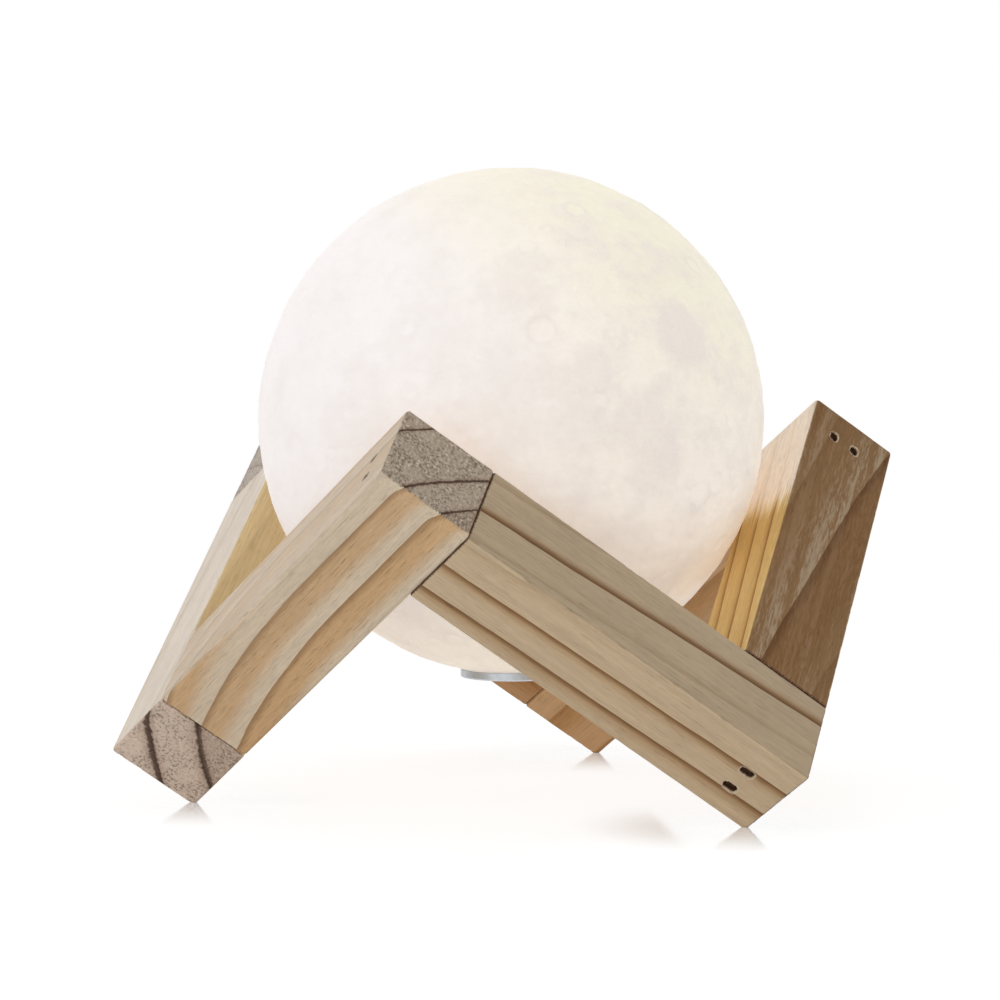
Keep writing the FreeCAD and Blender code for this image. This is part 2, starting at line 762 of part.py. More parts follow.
make_base_ring()
make_barrel()
make_cap()
screw_head_low = cap_low + S.counterbore_depth - S.screw_head_height
screws("cap_screws", post_offset, screw_head_low, screw_head_low + S.screw_head_height, S.screw_length)
make_socket()
make_switch()
make_board()
make_battery()
make_light()
screws("carrier_screws", carrier_screw_offset, led_board_top, led_board_top - S.carrier_screw_length,
       S.carrier_screw_length)
make_dome()
doc.recompute()


# ---------------------------------------------------------------- checks and files

for thing in doc.Objects:
    if "Invalid" in thing.State or "Error" in thing.State:
        raise RuntimeError(f"{thing.Label}: {thing.State}")
os.makedirs("parts", exist_ok=True)
for part in parts:
    shape = part.Shape
    if shape.isNull() or not shape.isValid():
        raise RuntimeError(f"{part.Label}: bad shape")
    shape.exportStep(os.path.join("parts", part.Label + ".step"))
    box = shape.BoundBox
    print(f"{part.Label:18s} solids {len(shape.Solids):2d} volume {shape.Volume:11.1f} "
          f"z {box.ZMin:7.2f} .. {box.ZMax:7.2f}")
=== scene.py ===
"""The looks of the moon lamp: a lit printed globe resting in a crown of six pine sticks."""
import math

import bpy
import numpy as np
from mathutils import Matrix, Vector, noise


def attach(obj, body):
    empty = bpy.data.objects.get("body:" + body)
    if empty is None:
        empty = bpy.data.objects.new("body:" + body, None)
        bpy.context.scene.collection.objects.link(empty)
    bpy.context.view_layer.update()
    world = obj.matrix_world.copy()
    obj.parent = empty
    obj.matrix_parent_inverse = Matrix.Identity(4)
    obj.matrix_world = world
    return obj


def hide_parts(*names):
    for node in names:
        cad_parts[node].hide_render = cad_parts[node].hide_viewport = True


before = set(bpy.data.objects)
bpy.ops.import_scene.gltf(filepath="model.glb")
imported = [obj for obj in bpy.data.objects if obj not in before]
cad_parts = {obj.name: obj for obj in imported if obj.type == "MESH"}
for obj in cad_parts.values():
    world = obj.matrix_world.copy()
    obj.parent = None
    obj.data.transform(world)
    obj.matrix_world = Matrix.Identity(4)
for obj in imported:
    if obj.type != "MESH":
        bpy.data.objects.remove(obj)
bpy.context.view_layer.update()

MM = 0.001
# The three cube edges that the sticks follow, and the walk along six of them, stick by stick.
EDGE_A = Vector((1 / math.sqrt(2), -1 / math.sqrt(6), 1 / math.sqrt(3)))
EDGE_E = Vector((-1 / math.sqrt(2), -1 / math.sqrt(6), 1 / math.sqrt(3)))
EDGE_C = Vector((0, 2 / math.sqrt(6), 1 / math.sqrt(3)))
RUNS = [EDGE_A, -EDGE_E, EDGE_C, -EDGE_A, EDGE_E, -EDGE_C]

# Main sizes, in millimetres.
STICK_WIDTH, STICK_LENGTH = 29.5, 116.5
STAND_CENTRE_HEIGHT = 57.829
GLOBE_RADIUS, SHELL_WALL = 75.0, 1.8
GLOBE_CENTRE_HEIGHT = 110.594
BRAD_PITCH = 7.7
HALF = STICK_WIDTH / 2
BUTT, SHOW_END = 0, STICK_LENGTH

CAMERA_PLACE = Vector((0.29667, -0.97487, 0.14386))
CAMERA_AIM = Vector((-0.29375, 0.95426, -0.05559))
CAMERA_LENS, CAMERA_SENSOR = 123.84, 36.0


def srgb(red, green, blue):
    """The linear colour of an 8-bit display colour."""
    def linear(level):
        level /= 255
        return level / 12.92 if level <= 0.04045 else ((level + 0.055) / 1.055) ** 2.4
    return (linear(red), linear(green), linear(blue), 1.0)


class Value:
    """An output socket of a node tree; arithmetic on it adds Math nodes."""

    def __init__(self, tree, socket):
        self.tree, self.socket = tree, socket

    def math(self, operation, *others):
        node = self.tree.new("ShaderNodeMath", operation=operation)
        for socket, value in zip(node.inputs, (self, *others)):
            self.tree.put(value, socket)
        return Value(self.tree, node.outputs[0])

    def __add__(self, other):
        return self.math("ADD", other)

    def __sub__(self, other):
        return self.math("SUBTRACT", other)

    def __mul__(self, other):
        return self.math("MULTIPLY", other)

    def __truediv__(self, other):
        return self.math("DIVIDE", other)

    def flipped(self):
        """One minus the value."""
        node = self.tree.new("ShaderNodeMath", operation="SUBTRACT")
        node.inputs[0].default_value = 1
        self.tree.put(self, node.inputs[1])
        return Value(self.tree, node.outputs[0])

    def step(self, low, high):
        """A smooth climb from 0 to 1 between low and high."""
        node = self.tree.new("ShaderNodeMapRange", interpolation_type="SMOOTHSTEP")
        self.tree.put(self, node.inputs["Value"])
        node.inputs["From Min"].default_value, node.inputs["From Max"].default_value = low, high
        return Value(self.tree, node.outputs[0])


class Tree:
    """The emptied node tree of a material or a world, and its output node."""

    def __init__(self, owner, end="ShaderNodeOutputMaterial"):
        owner.use_nodes = True
        self.nodes, self.links = owner.node_tree.nodes, owner.node_tree.links
        self.nodes.clear()
        self.end = self.new(end)

    def new(self, kind, **settings):
        node = self.nodes.new(kind)
        for key, setting in settings.items():
            setattr(node, key, setting)
        return node

    def put(self, value, socket):
        if isinstance(value, Value):
            self.links.new(value.socket, socket)
        elif socket.type == "VECTOR":
            socket.default_value = tuple(value)[:3]
        else:
            socket.default_value = value

    def shading(self, kind, **inputs):
        """A new shader node with these inputs, as a value."""
        node = self.new(kind)
        for key, value in inputs.items():
            self.put(value, node.inputs[key])
        return Value(self, node.outputs[0])

    def blend(self, factor, first, second):
        """The first shader, giving way to the second as the factor climbs."""
        node = self.new("ShaderNodeMixShader")
        for socket, value in zip(node.inputs, (factor, first, second)):
            self.put(value, socket)
        return Value(self, node.outputs[0])

    def finish(self, shader):
        self.links.new(shader.socket, self.end.inputs["Surface"])

    def object_place(self):
        return Value(self, self.new("ShaderNodeTexCoord").outputs["Object"])

    def mapped(self, vector, scale=(1, 1, 1), shift=(0, 0, 0), turn=(0, 0, 0), kind="POINT"):
        node = self.new("ShaderNodeMapping", vector_type=kind)
        self.put(vector, node.inputs["Vector"])
        node.inputs["Location"].default_value = shift
        node.inputs["Rotation"].default_value = turn
        node.inputs["Scale"].default_value = scale
        return Value(self, node.outputs[0])

    def vector(self, operation, first, second=(0, 0, 0), output=0):
        node = self.new("ShaderNodeVectorMath", operation=operation)
        self.put(first, node.inputs[0])
        self.put(second, node.inputs[1])
        return Value(self, node.outputs[output])

    def along(self, vector, direction):
        return self.vector("DOT_PRODUCT", vector, tuple(direction), output=1)

    def split(self, vector):
        node = self.new("ShaderNodeSeparateXYZ")
        self.put(vector, node.inputs[0])
        return [Value(self, socket) for socket in node.outputs]

    def join(self, *parts):
        node = self.new("ShaderNodeCombineXYZ")
        for part, socket in zip(parts, node.inputs):
            self.put(part, socket)
        return Value(self, node.outputs[0])

    def noise(self, vector, scale, detail=3.0, roughness=0.55):
        node = self.new("ShaderNodeTexNoise")
        self.put(vector, node.inputs["Vector"])
        node.inputs["Scale"].default_value = scale
        node.inputs["Detail"].default_value = detail
        node.inputs["Roughness"].default_value = roughness
        return Value(self, node.outputs["Fac"])

    def cells(self, vector, scale, feature="F1"):
        node = self.new("ShaderNodeTexVoronoi", feature=feature)
        self.put(vector, node.inputs["Vector"])
        node.inputs["Scale"].default_value = scale
        return Value(self, node.outputs["Distance"])

    def hashed(self, value):
        node = self.new("ShaderNodeTexWhiteNoise", noise_dimensions="1D")
        self.put(value, node.inputs["W"])
        return Value(self, node.outputs["Value"])

    def mix(self, factor, first, second):
        """The first colour, giving way to the second as the factor climbs."""
        node = self.new("ShaderNodeMix", data_type="RGBA")
        colours = [socket for socket in node.inputs if socket.type == "RGBA"]
        for socket, value in zip((node.inputs[0], *colours), (factor, first, second)):
            self.put(value, socket)
        return Value(self, next(socket for socket in node.outputs if socket.type == "RGBA"))

    def shade(self, colour, level):
        """The colour with each channel multiplied by the level."""
        return self.vector("MULTIPLY", colour, self.join(level, level, level))


class Surface(Tree):
    """A new material with a Principled shader."""

    def __init__(self, name):
        self.material = bpy.data.materials.new(name)
        super().__init__(self.material)
        self.shader = self.new("ShaderNodeBsdfPrincipled")
        self.finish(Value(self, self.shader.outputs[0]))
        self.place = self.object_place()

    def set(self, **inputs):
        """Fills inputs of the Principled shader; Base_Color stands for Base Color."""
        for key, value in inputs.items():
            self.put(value, self.shader.inputs[key.replace("_", " ")])

    def bump(self, height, distance, strength):
        node = self.new("ShaderNodeBump")
        node.inputs["Strength"].default_value = strength
        node.inputs["Distance"].default_value = distance
        self.put(height, node.inputs["Height"])
        self.set(Normal=Value(self, node.outputs[0]))


# ---------------------------------------------------------------- pine sticks
# What sets one board apart from the next, with lengths in millimetres:
# pith: the side on which the tree's middle lies, as an angle in the section, and how far off;
# rings: where one growth line crosses that direction at the show end, how far the lines have moved
#   at the butt end, over what share of the length, their spacing, and the strength of the lines
#   between every second one; rings_z is the same for the faces across Z, where they differ;
# wide: where one wider ring starts, over what reach, and how much wider it is at the butt end;
# turns, turns_z: the part of a ring over which early wood turns to late wood;
# early, late, line, end, glint: colours of the wood, its lines, the end grain, and pale streaks painted
# as a highlight;
# line_strength, coarse: how dark the lines are, and how uneven the long faces;
# end_line: width and strength of the lines on the end grain;
# faint_past: how far from the section's middle the lines go faint; seed shifts all its noise.
BOARDS = {
    "front_left": dict(
        pith=(-44, 260), rings=(12.3, 6.2, 0.57, 9.1, 0.95), wide=(-4, 16, 8.1), turns=(0.16, 0.58),
        early=(232, 213, 187), late=(219, 179, 132), line=(134, 94, 58), line_strength=0.6,
        coarse=0.46, end=(190, 172, 152), end_line=(0.66, 1.0), seed=1.7),
    "front_right": dict(
        pith=(-45, 90), rings=(-1.0, 1.9, 1.0, 6.7, 1.0), rings_z=(-7.35, -5.3, 1.0, 7.7, 0.18),
        wide=(15, 9, 5.0), turns=(0.50, 0.98), turns_z=(0.66, 1.0), early=(218, 194, 161),
        late=(188, 150, 106), line=(120, 80, 48), line_strength=0.8, coarse=0.36, end=(174, 155, 138),
        end_line=(0.6, 0.7), faint_past=15.5, seed=4.1),
    "right": dict(
        pith=(-29, 95), rings=(-8.1, -9.2, 1.0, 7.5, 0.35), rings_z=(-5.0, -5.6, 1.0, 7.3, 0.95),
        turns=(0.10, 0.45), turns_z=(0.45, 0.98), early=(224, 190, 142), late=(204, 162, 108),
        line=(136, 88, 46), line_strength=0.75, coarse=0.62, end=(168, 146, 128),
        end_line=(0.6, 0.6), glint=(178, 158, 132), seed=7.3),
    "rear_right": dict(
        pith=(-142, 80), rings=(3.2, 1.0, 1.0, 16.0, 1.0), turns=(0.35, 0.8),
        early=(236, 196, 151), late=(214, 166, 112), line=(150, 104, 66), line_strength=0.3,
        coarse=0.3, end=(170, 150, 132), end_line=(0.6, 0.6), seed=9.2),
    "rear_left": dict(
        pith=(-38, 80), rings=(-3.0, -6.0, 0.7, 10.0, 0.7), turns=(0.2, 0.8),
        early=(236, 200, 156), late=(214, 168, 116), line=(142, 98, 62), line_strength=0.25,
        coarse=0.3, end=(238, 224, 212), end_line=(0.7, 0.3), seed=12.6),
    "left": dict(
        pith=(-49, 110), rings=(7.6, 12.0, 1.0, 15.4, 1.0), turns=(0.6, 0.96),
        early=(238, 223, 200), late=(226, 205, 172), line=(128, 92, 66), line_strength=0.45,
        coarse=0.34, end=(241, 217, 197), end_line=(2.0, 0.9), seed=15.4),
}
# Light and shade painted onto parts of a board, as the lamps and the globe's glow fall on them:
# the face, the multiplying colour, and the stretch of the stick's length over which it comes in,
# or None for the whole face.
PAINTED_LIGHT_ON_FACES = {
    "front_left": [("-y", (0.97, 1.03, 1.14), None)],
    "front_right": [("+z", (0.73, 0.73, 0.73), None)],
    "right": [("-y", (0.39, 0.323, 0.28), None), ("+z", (0.84, 0.81, 0.72), (20, 62)),
              ("+z", (1.66, 2.25, 4.3), (60, 74)), ("+z", (1.12, 1.14, 0.90), (74, 62))],
    "rear_right": [("-z", (0.92, 0.96, 1.05), (70, 40))],
    "rear_left": [("+y", (0.85, 0.75, 0.68), None)],
    "left": [("+z", (1.07, 1.11, 1.24), None), ("+y", (0.88, 0.80, 0.58), None)],
}
# Where a board shows little of its rings: the face, how little, and the stretch, as above.
PLAIN_PARTS = {
    "front_left": [("-y", 0.7, None)], "left": [("+z", 0.8, None), ("+y", 0.85, None)],
    "right": [("-y", 0.1, None), ("+z", 0.85, (58, 74))],
}
# Setback, sideways shift and half length of the two brad recesses, in millimetres.
RECESSES = {
    "front_left": (12.5, 0.0, 1.6), "front_right": (13.3, -0.4, 2.1), "right": (10.9, 1.9, 1.6),
    "rear_right": (12.5, 0.5, 1.6), "rear_left": (13.0, -0.8, 2.2), "left": (12.0, 0.3, 1.6),
}
RECESS_HALF_WIDTH, RECESS_CORNER, RECESS_DEPTH = 1.15, 0.95, 2.0
# Width of a recess's sloping wall, and the coarse and fine raggedness of its edge.
RECESS_WALL, RAGGED_COARSE, RAGGED_FINE = 0.3, 0.16, 0.10
# Radii of the long arrises, the arrises of both ends, and the first stick's lower corner.
ARRIS, BUTT_ARRIS, END_ARRIS, HEEL_ROUND = 1.2, 0.45, 0.9, 4.0
# The grid of a stick's mesh: its gaps, its lines per millimetre round a recess, the close lines
# at each arris, and where the even gaps begin.
GAP_LENGTHWISE, GAP_ACROSS, FINE_LINES = 1.5, 0.9, 4.5
EDGE_LINES, FIRST_LINE = (0, 0.15, 0.3, 0.5, 0.75, 1.05, 1.45, 2.0), 2.8
# How far the lines round a recess reach: past its ends, and to each side of its middle.
FINE_PAST, FINE_ASIDE = 1.3, 1.9
SHARP_ANGLE = math.radians(48)
# How deep sanding, rubbing, knocks and the saw have gone, and how deep and wide fibre is torn.
SANDED, RUBBED, NICKED, SAWN = 0.035, 0.10, 0.60, 0.09
TORN_DEPTH, TORN_REACH = 0.14, 0.9
# How far growth lines wander and ripple, and what share of a faint line is left.
WANDER, RIPPLE, FAINT_SHARE = 1.2, 0.45, 0.2
# Growth lines are counted from this many inside the marked one, so that every count is positive.
COUNT_FROM = 40
# Where lines would go faint on a board without faint ones: past all of it.
PAST_BOARD = 99

PALE_FIBRE, RECESS_SHADE, JOINT_SHADE = srgb(236, 216, 190), srgb(56, 28, 14), srgb(92, 50, 22)
END_CHIP_AND_HIGHLIGHT, END_PIT_AND_SHADE, END_PORE = srgb(244, 232, 216), srgb(92, 72, 54), srgb(74, 54, 38)
END_HALO, END_LINE, END_INNER_TONE = srgb(128, 88, 66), srgb(66, 38, 24), srgb(132, 106, 78)


def stick_axes(index):
    """The stick's own axes in the frame, and the middle of its butt end."""
    run, turn = RUNS[index], RUNS[(index + 1) % 6]
    side = run.cross(turn)
    joint = Vector((0, 0, STAND_CENTRE_HEIGHT))
    joint += (-EDGE_A + EDGE_E - EDGE_C) * STICK_LENGTH / 2
    for step in range(index):
        joint += RUNS[step] * STICK_LENGTH
    return Matrix((run, turn, side)).transposed(), (joint + HALF * run) * MM


def grid_lines(low, high, gap, fine=(), reach=0.0):
    """Places from low to high: close at both arrises and round the fine places, wider between."""
    edge = np.array(EDGE_LINES)
    first, last = low + FIRST_LINE, high - FIRST_LINE
    steps = round((last - first) / gap)
    lines = np.concatenate([low + edge, high - edge, np.linspace(first, last, steps + 1)])
    for place in fine:
        lines = lines[np.abs(lines - place) > reach + 0.1]
        count = round(2 * reach * FINE_LINES)
        lines = np.concatenate([lines, np.linspace(place - reach, place + reach, count)])
    return np.unique(lines.round(4))


def box_shell(lines):
    """Points and outward quads of a box's surface, gridded by the lines along each axis."""
    number, places, quads = {}, [], []
    for axis in range(3):
        first, second = (axis + 1) % 3, (axis + 2) % 3
        for side in (0, len(lines[axis]) - 1):
            for i in range(len(lines[first]) - 1):
                for j in range(len(lines[second]) - 1):
                    quad = []
                    for step_i, step_j in ((0, 0), (1, 0), (1, 1), (0, 1)):
                        place = [side] * 3
                        place[first], place[second] = i + step_i, j + step_j
                        place = tuple(place)
                        if place not in number:
                            number[place] = len(places)
                            places.append([lines[k][place[k]] for k in range(3)])
                        quad.append(number[place])
                    quads.append(quad if side else quad[::-1])
    return np.array(places), quads


def to_round(first, second):
    """Brings distances into a square corner onto the round inside it."""
    shrink = np.maximum(first, second) / np.hypot(first, second)
    return first * shrink, second * shrink


def ease_box(points, has_heel):
    """Rounds the arrises of a stick-sized box, and its heel where it has one."""
    x, y, z = points.T.copy()
    if has_heel:
        near = (x > SHOW_END - HEEL_ROUND) & (z < HEEL_ROUND - HALF)
        out, down = to_round(x[near] - SHOW_END + HEEL_ROUND, HEEL_ROUND - HALF - z[near])
        x[near], z[near] = SHOW_END - HEEL_ROUND + out, HEEL_ROUND - HALF - down
    for end, radius, inward in ((BUTT, BUTT_ARRIS, 1), (SHOW_END, END_ARRIS, -1)):
        from_end, reach = (x - end) * inward, np.maximum(np.abs(y), np.abs(z))
        near = (from_end < radius) & (reach > HALF - radius)
        out, across = to_round(radius - from_end[near], reach[near] - HALF + radius)
        x[near] = end + inward * (radius - out)
        scale = (HALF - radius + across) / reach[near]
        y[near], z[near] = y[near] * scale, z[near] * scale
    flat = HALF - ARRIS
    near = (np.abs(y) > flat) & (np.abs(z) > flat)
    out, across = to_round(np.abs(y[near]) - flat, np.abs(z[near]) - flat)
    y[near], z[near] = np.sign(y[near]) * (flat + out), np.sign(z[near]) * (flat + across)
    return np.stack([x, y, z], -1)


def field(points, scale, seed):
    """Smooth seeded noise from -1 to 1 at each point, with the scale in features per millimetre."""
    shift = Vector((seed * 31.7, seed * 17.3, seed * 7.9))
    return np.array([noise.noise(Vector(point) * scale + shift) for point in points])


def wear(points, normals, seed):
    """How far sawing, sanding and knocks have left each point below the plain box."""
    arris = np.clip((0.985 - np.abs(normals).max(1)) / 0.2, 0, 1)
    end = np.clip((normals[:, 0] - 0.8) / 0.15, 0, 1)
    sanded = SANDED * (field(points, 0.05, seed) + 1)
    rubbed = RUBBED * arris * (field(points, 0.11, seed + 1) + 1)
    nicks = NICKED * arris * np.clip((field(points, 0.42, seed + 2) - 0.28) / 0.25, 0, 1)
    sawn = SAWN * end * (field(points, 1.3, seed + 3) + 1)
    return sanded + rubbed + nicks + sawn


def recess_gap(x, z, name, ragged):
    """Distance of each point outside the nearer brad recess, negative inside it."""
    setback, shift, half_length = RECESSES[name]
    along = np.abs(x - SHOW_END + setback) - half_length + RECESS_CORNER
    across = np.abs(np.abs(z - shift) - BRAD_PITCH / 2) - RECESS_HALF_WIDTH + RECESS_CORNER
    return np.hypot(np.maximum(along, 0), np.maximum(across, 0)) - RECESS_CORNER + ragged


def make_stick(index, name):
    """A sawn stick with worn arrises, rough end grain and two torn brad recesses."""
    setback, shift, half_length = RECESSES[name]
    seed = BOARDS[name]["seed"]
    rows = (shift - BRAD_PITCH / 2, shift + BRAD_PITCH / 2)
    lines = [grid_lines(BUTT, SHOW_END, GAP_LENGTHWISE, (SHOW_END - setback,), half_length + FINE_PAST),
             grid_lines(-HALF, HALF, GAP_ACROSS),
             grid_lines(-HALF, HALF, GAP_ACROSS, rows, FINE_ASIDE)]
    points, quads = box_shell(lines)
    points = ease_box(points, index == 0)
    mesh = bpy.data.meshes.new("pine_stick_" + name)
    mesh.from_pydata(points.tolist(), [], quads)
    normals = np.array([entry.vector for entry in mesh.vertex_normals])
    worn = points - normals * wear(points, normals, seed)[:, None]

    ragged = RAGGED_COARSE * field(points, 1.1, seed + 4)
    ragged += RAGGED_FINE * field(points, 2.6, seed + 5)
    gap = recess_gap(worn[:, 0], worn[:, 2], name, ragged)
    brad_face = worn[:, 1] < 0.3 - HALF
    torn = TORN_DEPTH * np.clip(1 - gap / TORN_REACH, 0, 1) * (1 + field(points, 1.7, seed + 6))
    sunk = RECESS_DEPTH * np.clip(0.5 - gap / RECESS_WALL, 0, 1)
    worn[:, 1] += np.where(brad_face, np.maximum(torn, sunk), 0)

    axes, butt = stick_axes(index)
    placed = worn @ np.array(axes).T * MM + np.array(butt)
    placed[:, 2] = np.maximum(placed[:, 2], 0)
    mesh.vertices.foreach_set("co", placed.ravel())
    mesh.update()
    mesh.shade_smooth()
    mesh.set_sharp_from_angle(angle=SHARP_ANGLE)
    stick = bpy.data.objects.new("pine_stick_" + name, mesh)
    bpy.context.scene.collection.objects.link(stick)
    mesh.materials.append(pine(index, name))
    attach(stick, "stand")
    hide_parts("stick_" + name)


def growth_lines(tree, local, board, rings):
    """Where each point lies among the growth lines, as four values: its place within its ring, the
    strength of the line outside it and of the line inside it, and how many rings out it is."""
    line, drift, bend, spacing, other = rings
    seed = board["seed"]
    wander = tree.noise(tree.mapped(local, (0.012, 0.05, 0.05), (seed,) * 3), 1.0, 2.0)
    ripple = tree.noise(tree.mapped(local, (0.05, 0.35, 0.35), (seed * 2,) * 3), 1.0, 2.0)
    x, y, z = tree.split(local)
    angle, far = math.radians(board["pith"][0]), board["pith"][1]
    across, up = y - far * math.cos(angle), z - far * math.sin(angle)
    radius = (across * across + up * up).math("SQRT")
    short = (x / (STICK_LENGTH * bend)).math("MINIMUM", 1.0).flipped()
    short = short * short if bend < 1 else short
    radius = radius + short * drift
    if "wide" in board:
        start, reach, amount = board["wide"]
        radius = radius - (radius - far).step(start, start + reach) * amount * short.flipped()
    radius = radius + (wander - 0.5) * WANDER + (ripple - 0.5) * RIPPLE
    count = (radius - (far - line)) / spacing + COUNT_FROM
    ring = count.math("FLOOR")

    far_out = board.get("faint_past", PAST_BOARD)
    clear = (radius - far).step(far_out, far_out + 1).flipped() * (1 - FAINT_SHARE) + FAINT_SHARE

    def strength(number):
        odd = (number * 0.5).math("FRACT").step(0.2, 0.3)
        return (tree.hashed(number + seed) * 0.15 + 0.85) * (odd * (1 - other) + other) * clear

    return count.math("FRACT"), strength(ring), strength(ring - 1), count - COUNT_FROM


def on_face(y, z, face, soft=0.4):
    """One on a long face of a stick, such as +y, or |z for both across Z, and nothing elsewhere."""
    along, across = (y, z) if face[1] == "y" else (z, y)
    outward = along.math("ABSOLUTE") if face[0] == "|" else along * (1 if face[0] == "+" else -1)
    return (outward - across.math("ABSOLUTE")).step(-soft, soft / 2)


def recess_distance(tree, x, z, name):
    """Distance outside the nearer of the stick's two brad recesses, negative inside it."""
    setback, shift, half_length = RECESSES[name]
    along = (x - (SHOW_END - setback)).math("ABSOLUTE") - (half_length - RECESS_CORNER)
    across = ((z - shift).math("ABSOLUTE") - BRAD_PITCH / 2).math("ABSOLUTE")
    across = across - (RECESS_HALF_WIDTH - RECESS_CORNER)
    along, across = along.math("MAXIMUM", 0.0), across.math("MAXIMUM", 0.0)
    return (along * along + across * across).math("SQRT") - RECESS_CORNER


def end_grain(tree, local, lines, board):
    """Colour and height of sawn end grain: coarse specks, partly painted highlight and shade, pores,
    and dark ragged growth lines.
    """
    fraction, strength, _, rings_out = lines
    fine = tree.noise(tree.mapped(local, (0.5, 1.05, 1.05)), 1.0, 3.0, 0.72)
    ragged = tree.noise(tree.mapped(local, (0.4, 0.75, 0.75)), 1.0, 3.0, 0.7)
    patch = tree.noise(local, 0.13, 2.0).step(0.38, 0.58) * 0.55 + 0.45
    # Dark pits and pale chips: the end grain's own speckle, and painted shade and highlight of its
    # rough relief.
    pit_and_shade = fine.step(0.37, 0.50).flipped() * patch
    chip_and_highlight = fine.step(0.52, 0.64) * patch
    pore = tree.cells(tree.mapped(local, (0.25, 0.42, 0.42)), 1.0).step(0.04, 0.15).flipped()
    width, depth = board["end_line"]
    from_line = fraction.math("MINIMUM", fraction.flipped() * 1.4) * board["rings"][3]
    line = (from_line + (ragged - 0.5) * width * 1.3).step(width * 0.30, width * 0.80).flipped()
    halo = from_line.step(width * 0.7, width * 2.2).flipped()
    # The end grain is made darker inside the marked growth line.
    inside_marked_line = rings_out.step(-0.06, 0.0).flipped()
    colour = tree.mix(inside_marked_line * 0.3, srgb(*board["end"]), END_INNER_TONE)
    colour = tree.mix(chip_and_highlight * 0.72, colour, END_CHIP_AND_HIGHLIGHT)
    colour = tree.mix(pit_and_shade * 0.62, colour, END_PIT_AND_SHADE)
    colour = tree.mix(pore * 0.7, colour, END_PORE)
    colour = tree.mix(halo * strength * depth * 0.3, colour, END_HALO)
    colour = tree.mix(line * strength * depth, colour, END_LINE)
    return colour, chip_and_highlight - pit_and_shade - line * 0.4


def ring_tones(tree, x, y, z, lines, grains, name):
    """Colour of the long faces, from rings, flecks and the light and shade painted onto faces, and the
    late wood.
    """
    board = BOARDS[name]
    fraction, coming, last, _ = lines
    fibre, streak, fleck, mottle = grains
    sharp = fraction.step(0.982, 0.998).flipped()
    climb = fraction.step(*board["turns"])
    if "turns_z" in board:
        across_z = on_face(y, z, "|z", 0.04)
        climb = climb * across_z.flipped() + fraction.step(*board["turns_z"]) * across_z
    late = climb * coming * sharp
    line = fraction.step(0.78, 0.985) * sharp * coming
    edge = x - (y + HALF) * 0.6 + (streak - 0.5) * 20 + (fibre - 0.5) * 14
    for plain_face, plainness, stretch in PLAIN_PARTS.get(name, []):
        plain = on_face(y, z, plain_face) * plainness
        plain = plain * edge.step(*stretch) if stretch else plain
        late, line = late * plain.flipped() + plain * 0.3, line * plain.flipped()
    face = tree.mix(late, srgb(*board["early"]), srgb(*board["late"]))
    face = tree.mix(line * board["line_strength"], face, srgb(*board["line"]))
    face = tree.mix(fleck * (late * 0.22 + 0.20), face, srgb(*board["line"]))
    # Painted light and shade: listed faces made darker or lighter as light falls on them, warm near the
    # globe.
    for painted_face, tint, stretch in PAINTED_LIGHT_ON_FACES.get(name, []):
        mask = on_face(y, z, painted_face)
        mask = mask * edge.step(*stretch) if stretch else mask
        face = tree.mix(mask, face, tree.vector("MULTIPLY", face, tint))
    # Painted highlight: pale streaks near the growth lines on the -y face, laid over its painted shade.
    if "glint" in board:
        glint_streaks = (mottle + (streak - 0.5) * 0.9).step(0.42, 0.66)
        near_line = fraction.step(0.04, 0.75).flipped() * sharp * last * 0.72 + 0.10
        face = tree.mix(glint_streaks * near_line * on_face(y, z, "-y"), face, srgb(*board["glint"]))
    return face, late


def recess_marks(tree, x, y, z, grains, colour, name):
    """Adds the pale torn fibre round each brad recess and painted shade on the wood inside it."""
    fibre, mottle = grains[0], grains[3]
    gap = recess_distance(tree, x, z, name)
    outer = y.step(-HALF + 0.2, -HALF + 0.7).flipped()
    torn = (gap + (fibre - 0.5) * 2.0 + (mottle - 0.5) * 1.6).step(0.30, 0.75).flipped() * outer
    colour = tree.mix(torn * 0.8, colour, PALE_FIBRE)
    # Painted shade on the wood inside each recess.
    inside = y.step(-HALF + 0.35, -HALF + 0.9) * gap.step(0.2, 0.6).flipped()
    inside = inside * y.step(-HALF + 3.0, -HALF + 4.0).flipped()
    return tree.mix(inside * 0.9, colour, RECESS_SHADE), torn


